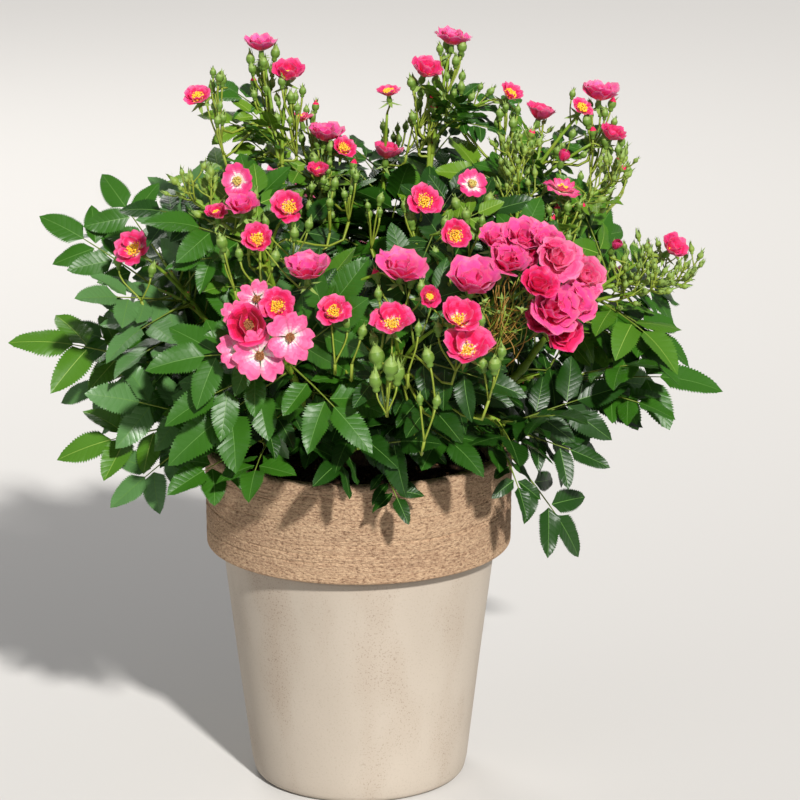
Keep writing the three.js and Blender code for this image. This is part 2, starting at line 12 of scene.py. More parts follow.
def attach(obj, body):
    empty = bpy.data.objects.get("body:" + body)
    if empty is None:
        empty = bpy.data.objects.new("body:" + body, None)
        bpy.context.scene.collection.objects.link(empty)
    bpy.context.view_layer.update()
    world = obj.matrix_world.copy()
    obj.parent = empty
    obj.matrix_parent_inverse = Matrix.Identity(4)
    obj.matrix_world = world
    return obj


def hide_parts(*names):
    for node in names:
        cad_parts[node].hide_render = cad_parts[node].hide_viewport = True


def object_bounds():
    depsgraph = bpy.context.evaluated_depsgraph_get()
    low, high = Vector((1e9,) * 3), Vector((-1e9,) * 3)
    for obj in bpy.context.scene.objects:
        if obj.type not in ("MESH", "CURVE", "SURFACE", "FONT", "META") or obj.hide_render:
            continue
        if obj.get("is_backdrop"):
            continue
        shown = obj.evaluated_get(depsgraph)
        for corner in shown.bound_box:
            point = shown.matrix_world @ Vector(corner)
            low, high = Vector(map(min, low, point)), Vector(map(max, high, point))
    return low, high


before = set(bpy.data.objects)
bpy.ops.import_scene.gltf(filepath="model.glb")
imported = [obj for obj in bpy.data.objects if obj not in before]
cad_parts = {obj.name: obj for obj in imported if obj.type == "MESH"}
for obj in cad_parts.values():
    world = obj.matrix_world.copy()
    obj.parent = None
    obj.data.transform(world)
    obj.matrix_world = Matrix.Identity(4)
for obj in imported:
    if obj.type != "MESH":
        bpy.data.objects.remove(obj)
CAD_LOW, CAD_HIGH = (np.array(corner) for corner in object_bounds())

MM = 0.001
SEED = 20
UP = np.array([0.0, 0.0, 1.0])
GOLDEN_ANGLE = math.radians(137.5)

# Pot: a thick straight band above a tapering body
POT_HEIGHT = 334.6 * MM
RIM_RADIUS = 150 * MM
BAND_HEIGHT = 97 * MM
BAND_FOOT_RADIUS = 149 * MM
NECK_RADIUS = 134 * MM
BASE_RADIUS = 105.3 * MM
RIM_WALL = 14 * MM
BODY_WALL = 13 * MM
POT_FLOOR = 14 * MM
NECK_HEIGHT = POT_HEIGHT - BAND_HEIGHT
POT_SIDES = 180
LIP_ROUND = 5 * MM
BAND_ROUND = 3 * MM
BASE_ROUND = 8 * MM
COMB_PITCH = 3.1 * MM
COMB_DEPTH = 0.3 * MM
COMB_GROOVES = 8
GROOVE_DRIFT = 3.5 * MM
GROOVE_DEPTH = 0.9 * MM
GROOVE_WIDTH = 0.8 * MM
BODY_ROWS = 30
ROUND_STEPS = 5
# Rows of points for each ridge of the band, and how far inside the band they start
COMB_ROWS = 5.6
COMB_MARGIN = 5 * MM
# The groove under the band: its depth, and how far below the band it starts
NECK_GROOVE = 2.2 * MM
NECK_GROOVE_FOOT = 2.6 * MM

# Compost: a low crumbly mound
SOIL_EDGE = 309 * MM
SOIL_TOP = 317 * MM
SOIL_FLAT_RADIUS = 42 * MM
SOIL_SLACK = 0.3 * MM
SOIL_WAVE = 1.5
CRUMBS = 900
CRUMB_SIZES = (1.0, 3.4)

# Stem: a short knotted stock with a flare at the compost
STEM_HEIGHT = 58 * MM
STEM_RADIUS = 16.5 * MM
STEM_RADII = [25 * MM, 18.5 * MM, STEM_RADIUS, 19 * MM, 13.5 * MM, 1 * MM]
STEM_SHARES = [0, 0.16, 0.4, 0.72, 0.95, 1]
STEM_LEAN = 4 * MM
STEM_FOOT = SOIL_TOP + 0.3 * MM

# Boughs: canes from the stem, and side canes from those
CANE_RADII = [5.4 * MM, 3.6 * MM]
SIDE_CANE_RADII = [4.2 * MM, 3.1 * MM]
LOW_RING = 20 * MM
HIGH_RING = 42 * MM
LOW_RISE = 0.9
HIGH_RISE = 1.9
BOUGH_REACH = 0.38

# Shoots: a mass starts with one, and side shoots leave it for the other tips
SHOOT_RISE = 0.55
SHOOT_BEND = 0.5
SIDE_SHOOT_BEND = 0.4
SIDE_SHOOT_START = 0.25
SIDE_SHOOT_SPREAD = 0.4
SIDE_SHOOT_RADIUS = 0.7
SHORTEST_SHOOT = 0.3
TWIG_TIP_RADIUS = 1.3 * MM
LEAF_LENGTH = 152 * MM

# Crown: leaves other than the named tips stay inside this ellipsoid
CROWN_CENTRE = np.array([0, 0, 452 * MM])
CROWN_RADII = np.array([338, 286, 190]) * MM
HEART = np.array([0, 0, 400 * MM])
HALVING = 30 * MM

# Camera
CAMERA_PLACE = np.array([0, -3128, 1225]) * MM
CAMERA_TARGET = np.array([40.4, 0, 378.1]) * MM
LENS = 150
LAMP_TARGET = Vector((0, 0, 0.42))

# Colours as on a screen, 0 to 255. Those of leaves come with their roughness.
LEAF_TINTS = {
    # The two darkest greens below are partly the leaves' own darker tone and partly painted shade: the
    # masses in the middle, low at the front and at the back draw mostly these
    "deep": ((26, 62, 10), 0.38),
    "dark": ((35, 77, 13), 0.42),
    "mid": ((46, 93, 16), 0.40),
    "bright": ((68, 112, 22), 0.42),
    # The next green is greyer and bluer than the others: painted sheen, the pale sky reflected in
    # glossy leaves
    "silver": ((78, 118, 64), 0.34),
    "young": ((92, 128, 26), 0.46),
}
RIB_TINT = (88, 128, 56)
YOUNG_RIB_TINT = (136, 162, 70)
LEAF_STALK_TINT = (112, 132, 44)
PETAL_TINTS = {
    "cream": (248, 234, 206),
    "blush": (250, 212, 212),
    "shell": (242, 162, 188),
    "light": (244, 118, 162),
    "candy": (240, 92, 144),
    "pink": (234, 72, 132),
    "rose": (230, 50, 114),
    "hot": (224, 24, 88),
    "ruby": (198, 14, 64),
    "crimson": (160, 10, 44),
    "magenta": (224, 40, 118),
    "orchid": (242, 74, 150),
    "yellow": (252, 214, 76),
    "gold": (246, 172, 34),
    "anther": (252, 194, 48),
    "brown": (146, 92, 50),
    "heart": (196, 168, 84),
}
GREEN_TINTS = {
    "stalk": (134, 150, 48),
    "bud": (98, 130, 46),
    "fresh": (126, 150, 58),
    "sepal": (130, 156, 76),
    "faded": (146, 110, 42),
}

# Masses of foliage. Each row gives where the mass's own cane starts, which is a ring of the stem
# or a share of the cane that carries it, the foot where the mass begins, and the tones of its
# leaves. Its first shoot heads for its first tip, or for the aim where one is given. Tips are a
# leaf, a bud, a truss of buds or a kind of bloom, its place, the width of a bloom or bud, and how
# far a bloom turns up where that isn't the rule of its kind. More blooms are given in the same
# way, and more sprays of buds by their place, the width of a bud and how many there are.
# The masses at the left take the tone whose greyer, bluer green is painted sheen.
MASSES = [
    dict(name="left", ring="low", foot=[-128, -28, 433], tone="silver", tips=[
        ["cup", -211, -80, 548, 35, 0.4], ["leaf", -300, 0, 565], ["leaf", -246, 20, 600]]),
    dict(name="front_left", ring="high", foot=[-52, -120, 413], aim=[-91, -240, 494],
         tone="mid", tips=[
        ["open", -88, -240, 485, 47], ["cup", -72, -235, 529, 30, 0.4], ["open", -61, -245, 503, 45]],
        more=[["deep", -98, -236, 512, 31], ["open", -107, -232, 487, 36],
              ["open", -91, -212, 530, 36], ["open", -108, -226, 519, 27]]),
    dict(name="front", ring="low", foot=[42, -128, 405], tone="dark", tips=[
        ["cup", 30, -232, 514, 38, 2.0], ["cup", 90, -242, 520, 43, 2.2], ["bud", 26, -250, 470, 12.5]],
        more=[["cup", 97, -250, 495, 45, 2.6], ["small", 64, -222, 534, 18, 0.6],
              ["bud", 46, -242, 506, 10, 3], ["bud", 71, -255, 484, 11, 2],
              ["bud", 121, -238, 480, 11, 3], ["bud", 61, -250, 445, 9, 3]]),
    dict(name="cluster", ring="high", foot=[92, -98, 425], aim=[160, -190, 556],
         tone="dark", tips=[
        ["ripe", 163, -209, 543, 33, 1.5], ["double", 137, -184, 560, 42, 1.8],
        ["double", 103, -205, 546, 50], ["ripe", 186, -190, 493, 38, 0.3]],
        more=[["double", 126, -165, 575, 33, 2.0], ["double", 151, -162, 576, 39, 1.6],
              ["double", 172, -165, 574, 33, 1.8], ["faded", 182, -176, 559, 42, 1.0],
              ["faded", 208, -165, 539, 36, 1.0], ["double", 177, -200, 518, 48, 1.2],
              ["ripe", 150, -172, 562, 30], ["double", 198, -184, 519, 43, 1.2],
              ["ripe", 170, -194, 506, 36], ["bud", 124, -215, 536, 10, 2]]),
    dict(name="right", ring="low", foot=[164, -28, 425], tone="mid", tips=[
        ["small", 300, -40, 539, 26], ["truss", 282, -62, 500], ["truss", 318, -20, 495]],
        more=[["half", 245, -50, 544, 10]]),
    dict(name="top_right", ring="high", foot=[60, 28, 521], tone="young", tips=[
        ["double", 92, 60, 724, 31], ["small", 66, 40, 697, 28], ["cup", 146, 18, 676, 25]],
        more=[["small", 177, 50, 653, 28]]),
    dict(name="back_right", ring="low", foot=[88, 92, 449], tone="mid", tips=[
        ["bud", 160, 170, 600], ["bud", 215, 150, 560], ["bud", 120, 225, 545]],
        more=[["double", 180, 215, 520, 44], ["cup", 135, 236, 535, 36],
              ["double", 218, 188, 508, 40]]),
    dict(name="back", ring="high", foot=[-12, 112, 453], tone="dark", tips=[
        ["leaf", -30, 205, 615], ["leaf", 20, 215, 590], ["open", -75, 240, 545, 46]],
        more=[["open", -55, 262, 512, 44], ["double", 5, 258, 520, 42],
              ["cup", -100, 246, 508, 36], ["ripe", 34, 262, 492, 38]]),
    dict(name="back_left", ring="low", foot=[-96, 74, 449], tone="silver", tips=[
        ["leaf", -200, 145, 580], ["leaf", -150, 185, 600], ["leaf", -280, 105, 530]],
        more=[["double", -185, 198, 512, 42], ["small", -225, 160, 500, 28],
              ["cup", -142, 228, 520, 36]]),
    dict(name="top_left", ring="high", foot=[-66, 4, 521], tone="young", tips=[
        ["double", -92, 40, 722, 31], ["small", -66, 18, 698, 29], ["bud", -137, -22, 698]],
        more=[["cup", -150, -30, 682, 24], ["bud", -134, -40, 668, 8, 4]]),
    dict(name="left_tip", carrier="left", share=0.62, foot=[-136, 4, 399], tone="silver", tips=[
        ["leaf", -328, -20, 453], ["leaf", -290, 55, 440]]),
    dict(name="left_low", carrier="left", share=0.5, foot=[-110, -58, 383], tone="silver", tips=[
        ["leaf", -283, -90, 352], ["leaf", -232, -118, 308]]),
    dict(name="left_middle", carrier="left", share=0.4, foot=[-70, -66, 465], tone="mid", tips=[
        ["double", -106, -130, 600, 31], ["truss", -158, -112, 606], ["cup", -64, -122, 596, 33],
        ["cup", -92, -158, 573, 30]],
        more=[["eye", -111, -112, 618, 30], ["small", -130, -122, 591, 18],
              ["double", -46, -198, 556, 43], ["bud", -118, -152, 562, 10, 3],
              ["bud", -60, -206, 540, 10, 2], ["bud", -30, -60, 596, 7.5, 5],
              ["bud", -10, -58, 606, 7.5, 5]]),
    dict(name="front_left_low", carrier="front_left", share=0.45, foot=[-74, -94, 375],
         tone="mid", tips=[["leaf", -170, -200, 350], ["leaf", -100, -238, 362]]),
    dict(name="front_middle", carrier="front_left", share=0.6, foot=[-11, -102, 439],
         tone="dark", tips=[
        ["bud", -44, -190, 553, 7.5], ["cup", -22, -212, 519, 29], ["double", 40, -192, 555, 43]],
        more=[["bud", 67, -215, 541, 11, 3], ["bud", -6, -230, 512, 8, 4],
              ["bud", 24, -218, 538, 10, 3]]),
    dict(name="front_low", carrier="front", share=0.5, foot=[8, -102, 372], tone="dark", tips=[
        ["leaf", 44, -196, 318], ["leaf", -34, -226, 368]]),
    dict(name="upper_middle", carrier="cluster", share=0.55, foot=[46, -50, 477],
         tone="dark", tips=[
        ["cup", 62, -118, 600, 31], ["eye", 106, -98, 612, 29], ["cup", 89, -150, 575, 31]],
        more=[["bud", 14, -72, 583, 7.5, 4], ["bud", 108, -130, 590, 8, 2]]),
    dict(name="right_low", carrier="cluster", share=0.42, foot=[108, -74, 381], tone="dark",
         tips=[["leaf", 236, -110, 345], ["leaf", 214, -62, 240], ["leaf", 158, -150, 306]]),
    dict(name="right_tip", carrier="right", share=0.6, foot=[152, 0, 395], tone="mid", tips=[
        ["leaf", 345, -28, 410], ["leaf", 300, -78, 388]]),
    dict(name="right_shoulder", carrier="right", share=0.5, foot=[120, -50, 461],
         tone="young", tips=[
        ["flat", 192, -60, 600, 38], ["truss", 152, -40, 630], ["truss", 254, -30, 602]],
        more=[["half", 196, -20, 624, 11], ["bud", 215, -100, 540, 9, 3]]),
    dict(name="upper_right", carrier="top_right", share=0.55, foot=[120, 20, 501],
         tone="young", tips=[
        ["double", 232, 20, 678, 36], ["small", 243, 0, 641, 23], ["truss", 180, 62, 654]],
        more=[["cup", 214, 10, 663, 22]]),
    dict(name="back_top", carrier="top_right", share=0.7, foot=[22, 67, 509],
         aim=[31, 100, 664], tone="dark",
         tips=[["cup", 30, 50, 672, 22], ["bud", 36, 122, 620]],
         more=[["small", 29, 58, 614, 28], ["bud", 53, 48, 652, 8, 3]]),
    dict(name="right_back", carrier="back_right", share=0.55, foot=[132, 60, 413], tone="mid",
         tips=[["bud", 272, 110, 500], ["leaf", 308, 100, 442], ["leaf", 250, 180, 395]],
         more=[["small", 272, 140, 470, 28], ["cup", 238, 176, 482, 36]]),
    dict(name="back_right_low", carrier="back_right", share=0.42, foot=[74, 102, 387],
         tone="dark", tips=[["leaf", 95, 262, 385], ["leaf", 190, 205, 345]]),
    dict(name="back_low", carrier="back", share=0.5, foot=[-38, 110, 391], tone="mid", tips=[
        ["open", -28, 258, 450, 46], ["leaf", -110, 250, 370], ["leaf", -30, 240, 325]],
        more=[["cup", 0, 256, 466, 36], ["open", -58, 250, 438, 42]]),
    dict(name="back_left_low", carrier="back_left", share=0.5, foot=[-108, 66, 393],
         tone="silver", tips=[["leaf", -285, 118, 395], ["leaf", -200, 215, 360]]),
    dict(name="inner_left", carrier="top_left", share=0.7, foot=[-28, 40, 509], tone="young",
         tips=[["bud", -48, 66, 650], ["double", -32, 40, 635, 34], ["small", -38, 20, 602, 21]],
         more=[["cup", -55, 60, 645, 21], ["cup", -13, 30, 621, 24], ["bud", 28, -10, 616, 8, 5],
               ["bud", -12, -20, 622, 8, 4]]),
]


def unit(vector):
    return vector / np.linalg.norm(vector)


def smooth(low, high, value):
    """0 below low, 1 above high, and an even turn between them."""
    share = np.clip((value - low) / (high - low), 0, 1)
    return share * share * (3 - 2 * share)


def turned_about(vector, axis, angle):
    """The vector turned about a unit axis."""
    return (vector * math.cos(angle) + np.cross(axis, vector) * math.sin(angle)
            + axis * np.dot(axis, vector) * (1 - math.cos(angle)))


def basis(along, towards):
    """Columns along, side and up of a frame whose X is along and whose Z is nearly towards."""
    along = unit(along)
    side = unit(np.cross(towards, along))
    return np.stack([along, side, np.cross(along, side)], axis=1)


def upright(axis, spin):
    """A frame whose Z is the axis, turned about it by spin."""
    helper = np.array([1.0, 0, 0]) if abs(axis[0]) < 0.8 else np.array([0, 1.0, 0])
    side = unit(np.cross(axis, helper))
    first = turned_about(side, axis, spin)
    return np.stack([first, np.cross(axis, first), axis], axis=1)


# Meshes

class Heap:
    """Points and triangles of many small forms, which become one mesh."""

    def __init__(self):
        self.points = []
        self.triangles = []
        self.slots = []
        self.places = []
        self.count = 0

    def add(self, points, triangles, slots, places=None):
        """slots is one number, or one for each triangle. places are flat coordinates."""
        self.points.append(points)
        self.triangles.append(triangles + self.count)
        self.slots.append(np.broadcast_to(slots, len(triangles)))
        self.places.append(np.zeros((len(points), 2)) if places is None else places)
        self.count += len(points)

    def half(self, left):
        """The forms whose middle is on one side of the plant."""
        part = Heap()
        first = 0
        for points, triangles, slots, places in zip(self.points, self.triangles, self.slots,
                                                    self.places):
            if (points[:, 0].mean() < HALVING) == left:
                part.add(points, triangles - first, slots, places)
            first += len(points)
        return part

    def build(self, name, materials, slot):
        points = np.concatenate(self.points).astype(np.float32)
        triangles = np.concatenate(self.triangles).astype(np.int32)
        mesh = bpy.data.meshes.new(name)
        mesh.vertices.add(len(points))
        mesh.vertices.foreach_set("co", points.ravel())
        mesh.loops.add(triangles.size)
        mesh.loops.foreach_set("vertex_index", triangles.ravel())
        mesh.polygons.add(len(triangles))
        mesh.polygons.foreach_set("loop_start", np.arange(0, triangles.size, 3, dtype=np.int32))
        mesh.polygons.foreach_set("material_index", np.concatenate(self.slots).astype(np.int32))
        for material in materials:
            mesh.materials.append(material)
        flat = mesh.uv_layers.new(name="form")
        flat.data.foreach_set("uv", np.concatenate(self.places)[triangles.ravel()].ravel())
        mesh.update(calc_edges=True)
        mesh.shade_smooth()
        piece = bpy.data.objects.new(name, mesh)
        bpy.context.scene.collection.objects.link(piece)
        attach(piece, "root")
        return piece


def grid(rows, columns, closed=False):
    """Triangles of a grid of corners. A closed one joins its last column to its first."""
    row, column = np.meshgrid(np.arange(rows - 1), np.arange(columns - (not closed)),
                              indexing="ij")
    after = (column + 1) % columns
    a = (row * columns + column).ravel()
    b = (row * columns + after).ravel()
    c = ((row + 1) * columns + after).ravel()
    d = ((row + 1) * columns + column).ravel()
    return np.concatenate([np.stack([a, b, c], 1), np.stack([a, c, d], 1)])


def lathe(profile, sides, swell=None):
    """A profile of (radius, height) turned about Z. swell(angle, height) is added to the radius."""
    profile = np.array(profile)
    angles = np.arange(sides) * 2 * math.pi / sides
    radius = np.repeat(profile[:, :1], sides, axis=1)
    height = np.repeat(profile[:, 1:], sides, axis=1)
    angle = np.repeat(angles[None], len(profile), axis=0)
    if swell:
        radius = radius + swell(angle, height) * (radius > 1e-4)
    points = np.stack([radius * np.cos(angle), radius * np.sin(angle), height], axis=2)
    return points.reshape(-1, 3), grid(len(profile), sides, closed=True)


# Curves and limbs

CURVE_STEPS = 120


def bezier(controls, t):
    layer = [np.outer(np.ones_like(t), control) for control in controls]
    while len(layer) > 1:
        layer = [a + (b - a) * t[:, None] for a, b in zip(layer, layer[1:])]
    return layer[0]


class Curve:
    """A Bezier curve that is read by the share of its length."""

    def __init__(self, *controls):
        self.line = bezier(controls, np.linspace(0, 1, CURVE_STEPS))
        steps = np.linalg.norm(np.diff(self.line, axis=0), axis=1)
        self.length = steps.sum()
        self.shares = np.append(0, np.cumsum(steps)) / self.length
        slopes = np.gradient(self.line, axis=0)
        self.slopes = slopes / np.linalg.norm(slopes, axis=1, keepdims=True)

    def read(self, values, share):
        return np.stack([np.interp(share, self.shares, values[:, k]) for k in range(3)], axis=-1)

    def point(self, share):
        return self.read(self.line, share)

    def tangent(self, share):
        tangent = self.read(self.slopes, share)
        return tangent / np.linalg.norm(tangent, axis=-1, keepdims=True)


def limb(curve, radii, sides, steps, relief=None):
    """A tube with closed ends along a curve. relief(angle, share) scales its radius."""
    shares = np.linspace(0, 1, steps + 1)
    centres = curve.point(shares)
    along = curve.tangent(shares)
    helper = UP if abs(along[0][2]) < 0.9 else np.array([1.0, 0, 0])
    normals = [unit(np.cross(along[0], helper))]
    for tangent in along[1:]:
        normals.append(unit(normals[-1] - tangent * np.dot(normals[-1], tangent)))
    normals = np.array(normals)
    binormals = np.cross(along, normals)
    angle = np.arange(sides) * 2 * math.pi / sides
    radius = np.interp(shares, np.linspace(0, 1, len(radii)), radii)[:, None]
    if relief:
        radius = radius * relief(angle[None], shares[:, None])
    spokes = (np.cos(angle)[None, :, None] * normals[:, None]
              + np.sin(angle)[None, :, None] * binormals[:, None])
    rings = centres[:, None] + radius[..., None] * spokes
    points = np.concatenate([rings.reshape(-1, 3), centres[:1], centres[-1:]])
    first = steps * sides
    around = np.arange(sides)
    after = (around + 1) % sides
    foot = np.stack([after, around, np.full(sides, len(points) - 2)], 1)
    head = np.stack([first + around, first + after, np.full(sides, len(points) - 1)], 1)
    return points, np.concatenate([grid(steps + 1, sides, closed=True), foot, head])


def stem_centre(height):
    return np.array([STEM_LEAN * height / STEM_HEIGHT, 0, STEM_FOOT + height])


def place_of(row):
    return np.array(row, float) * MM


def heading_of(mass):
    foot = place_of(mass["foot"])
    aim = place_of(mass.get("aim", mass["tips"][0][1:4]))
    return unit(unit(aim - foot) + UP * SHOOT_RISE)


def bough_curve(mass, curves):
    foot = place_of(mass["foot"])
    if "ring" in mass:
        low = mass["ring"] == "low"
        root = stem_centre(LOW_RING if low else HIGH_RING)
        outward = unit(foot * [1, 1, 0])
        start = unit(outward + UP * (LOW_RISE if low else HIGH_RISE))
    else:
        carrier = curves[mass["carrier"]]
        root = carrier.point(mass["share"])
        start = unit(carrier.tangent(mass["share"]) + unit(foot - root))
    reach = BOUGH_REACH * np.linalg.norm(foot - root)
    return Curve(root, root + start * reach, foot - heading_of(mass) * reach, foot)


def bough_radii(mass):
    return CANE_RADII if "ring" in mass else SIDE_CANE_RADII


def shoot_end(start, kind, tip):
    if kind != "leaf":
        return tip
    length = np.linalg.norm(tip - start)
    return start + (tip - start) * max(SHORTEST_SHOOT, 1 - LEAF_LENGTH / length)


def shoots_of(mass):
    """The main shoot from the foot to the first tip, and a side one to each other tip."""
    heading = heading_of(mass)
    foot = place_of(mass["foot"])
    kind, *first = mass["tips"][0][:4]
    end = shoot_end(foot, kind, place_of(first))
    reach = SHOOT_BEND * np.linalg.norm(end - foot)
    main = Curve(foot, foot + heading * reach, end)
    radius = bough_radii(mass)[1]
    shoots = [dict(curve=main, radius=radius, kind=kind, end=1.0, tip=place_of(first))]
    others = mass["tips"][1:]
    for i, (kind, *place) in enumerate(tip[:4] for tip in others):
        share = SIDE_SHOOT_START + SIDE_SHOOT_SPREAD * i / len(others)
        root = main.point(share)
        end = shoot_end(root, kind, place_of(place))
        reach = SIDE_SHOOT_BEND * np.linalg.norm(end - root)
        curve = Curve(root, root + main.tangent(share) * reach, end)
        shoots.append(dict(curve=curve, radius=SIDE_SHOOT_RADIUS * radius, kind=kind, end=1.0,
                           tip=place_of(place)))
    return shoots


# Room: small cells of space, so that leaves don't grow through each other or across a flower

CELL = 8 * MM
ROOM_LOW = CAD_LOW - 40 * MM
ROOM_SHAPE = tuple(np.ceil((CAD_HIGH - CAD_LOW + 80 * MM) / CELL).astype(int))
taken = np.zeros(ROOM_SHAPE, bool)
flowery = np.zeros(ROOM_SHAPE, bool)


def cells_of(points):
    cells = ((points - ROOM_LOW) / CELL).astype(int)
    return tuple(np.clip(cells, 0, np.array(ROOM_SHAPE) - 1).T)


def crowded(points):
    """The share of the points that lie in cells already taken."""
    return taken[cells_of(points)].mean()


def take(points):
    taken[cells_of(points)] = True


def pot_radius(height):
    """The pot's outer radius at a height."""
    body = BASE_RADIUS + (NECK_RADIUS - BASE_RADIUS) * height / NECK_HEIGHT
    return np.where(height > NECK_HEIGHT, RIM_RADIUS, body)


def inner_radius(height):
    """The pot's inner radius at a height."""
    at_neck = NECK_RADIUS - BODY_WALL
    above = at_neck + (RIM_RADIUS - RIM_WALL - at_neck) * (height - NECK_HEIGHT) / BAND_HEIGHT
    below = BASE_RADIUS - BODY_WALL + (at_neck - BASE_RADIUS + BODY_WALL) * height / NECK_HEIGHT
    return np.where(height > NECK_HEIGHT, above, below)


# How far leaves keep from the pot's wall, from the rim and from the compost
WALL_GAP = 2.5 * MM
RIM_GAP = 3 * MM
SOIL_GAP = 4 * MM


def meets_pot(points):
    """True where a leaf would pass through the pot or the compost."""
    radius = np.hypot(points[:, 0], points[:, 1])
    height = points[:, 2]
    outside = radius > pot_radius(height) + WALL_GAP
    above = height > POT_HEIGHT + RIM_GAP
    mouth = (radius < RIM_RADIUS - RIM_WALL - RIM_GAP) & (height > SOIL_TOP + SOIL_GAP)
    return not (outside | above | mouth).all()


BOX_SLACK = 6 * MM


def in_box(points):
    return (points > CAD_LOW - BOX_SLACK).all() and (points < CAD_HIGH + BOX_SLACK).all()


def in_crown(points):
    return (np.linalg.norm((points - CROWN_CENTRE) / CROWN_RADII, axis=1) < 1).all()


# Leaflet: a folded, pleated blade with teeth along its edge

LEAFLET_ROWS = 8
LEAFLET_START = 0.03
LEAFLET_END = 0.93
LEAFLET_TIP = 1.03
VEIN_SLANT = 0.16
MIDDLE = 0.55
RIB_HALF = 0.36 * MM
RIB_TAPER = 0.6
# The outline: its fullness, and the powers of its swell from the foot and its fall to the tip
OUTLINE = (2.26, 0.52, 0.78)
# Teeth of one row: the share of the row, and the reach of the edge there
TEETH = [(0.0, 0.88), (0.42, 1.045), (0.50, 0.88), (0.92, 1.045)]
# The pleats between veins, on a leaflet of the common length
PLEAT = 0.4 * MM
COMMON_LEAFLET = 50 * MM
FOLDS = (0.05, 0.38)
ARCHES = (0.06, 0.24)
EDGE_CURLS = (-0.6, 0.2)
# Waves of the edge: their height in mm, and how closely they follow each other
EDGE_WAVE = 1.6
EDGE_WAVE_RATE = 9
SWAY = 0.07


class LeafletForm:
    """The corners of a leaflet by share along it and across it, and its triangles."""

    def __init__(self):
        self.corners = []
        triangles, slots = [], []
        step = (LEAFLET_END - LEAFLET_START) / LEAFLET_ROWS
        inner, middle, edge = {}, {}, {}
        for side in (1, -1):
            inner[side], middle[side], edge[side] = [], [], []
            for row in range(LEAFLET_ROWS + 1):
                t = LEAFLET_START + row * step
                crest = 1 if row % 2 else -1
                inner[side].append(self.corner(t, 0, side, 0))
                slanted = t + VEIN_SLANT * MIDDLE * (1 - t)
                middle[side].append(self.corner(slanted, side * MIDDLE, 0, crest))
                teeth = TEETH if row < LEAFLET_ROWS else TEETH[:1]
                for share, reach in teeth:
                    tooth = t + share * step
                    tooth += VEIN_SLANT * (1 - tooth)
                    edge[side].append(self.corner(tooth, side * reach, 0, crest * (1 - 2 * share)))
        tip = self.corner(LEAFLET_TIP, 0, 0, 0)
        for row in range(LEAFLET_ROWS):
            a, b = inner[-1][row], inner[-1][row + 1]
            c, d = inner[1][row + 1], inner[1][row]
            triangles += [(a, b, c), (a, c, d)]
        triangles.append((inner[-1][-1], tip, inner[1][-1]))
        slots += [1] * len(triangles)
        for side in (1, -1):
            faces = []
            for row in range(LEAFLET_ROWS):
                i, j = inner[side][row], inner[side][row + 1]
                m, n = middle[side][row], middle[side][row + 1]
                e = edge[side][4 * row:4 * row + 5]
                faces += [(i, j, n), (i, n, m)]
                faces += [(m, e[1], e[0]), (m, e[2], e[1]), (m, n, e[2])]
                faces += [(n, e[3], e[2]), (n, e[4], e[3])]
            faces += [(inner[side][-1], tip, middle[side][-1]), (middle[side][-1], tip, edge[side][-1])]
            triangles += faces if side == 1 else [(a, c, b) for a, b, c in faces]
            slots += [0] * len(faces)
        self.triangles = np.array(triangles)
        self.slots = np.array(slots)
        self.along, self.across, self.rib, self.crest = np.array(self.corners).T.copy()
        self.places = np.stack([self.along, self.across], axis=1)
        self.samples = np.array(middle[1] + middle[-1] + edge[1][::4] + edge[-1][::4] + [tip])

    def corner(self, *values):
        """Adds a corner: its shares along and across, its side of the rib, and its pleat."""
        self.corners.append(values)
        return len(self.corners) - 1

    def shape(self, length, width, random):
        """A leaflet along +X with its upper side to +Z."""
        t = self.along
        full, swell, fall = OUTLINE
        half = width / 2 * full * np.maximum(t, 0) ** swell * np.maximum(LEAFLET_TIP - t, 0) ** fall
        y = self.across * half + self.rib * RIB_HALF * (1 - RIB_TAPER * t)
        fold, arch, curl = (random.uniform(*limits) for limits in (FOLDS, ARCHES, EDGE_CURLS))
        z = fold * np.abs(y) + curl * y * y / width
        z += PLEAT * self.crest * np.maximum(1 - t, 0) ** 0.3 * (length / COMMON_LEAFLET)
        wave = random.uniform(0.2, 1.0) * EDGE_WAVE * MM
        turn = EDGE_WAVE_RATE * t + random.uniform(0, 6) + 2 * (self.across > 0)
        z += wave * self.across ** 2 * np.sin(turn)
        z -= arch * length * t * t
        sway = random.uniform(-SWAY, SWAY) * length * t * t
        return np.stack([t * length, y + sway, z], axis=1)


LEAFLET = LeafletForm()

# Leaf: pairs of leaflets and an end one on a thin stalk. Feet and lengths are shares of the leaf.
LEAF_FORMS = {
    2: dict(feet=[0.27, 0.50], lengths=[0.33, 0.40], end=0.585),
    3: dict(feet=[0.22, 0.39, 0.55], lengths=[0.27, 0.32, 0.34], end=0.64),
}
STALK_RADIUS = 0.95 * MM
STALK_TAPER = (1.3, 0.6)
STALK_STEPS = 5
LEAFLET_STALK = 1.5 * MM
LEAFLET_SIZES = (0.92, 1.06)
END_BREADTH = 1.04
# How far side leaflets turn from the stalk, droop and roll, in degrees
LEAFLET_TURNS = (50, 70)
LEAFLET_DROOPS = (-8, 16)
LEAFLET_ROLLS = (-16, 16)

LEAF_TONES = list(LEAF_TINTS)
RIB_SLOT = len(LEAF_TONES)
YOUNG_RIB_SLOT = RIB_SLOT + 1
LEAF_STALK_SLOT = RIB_SLOT + 2


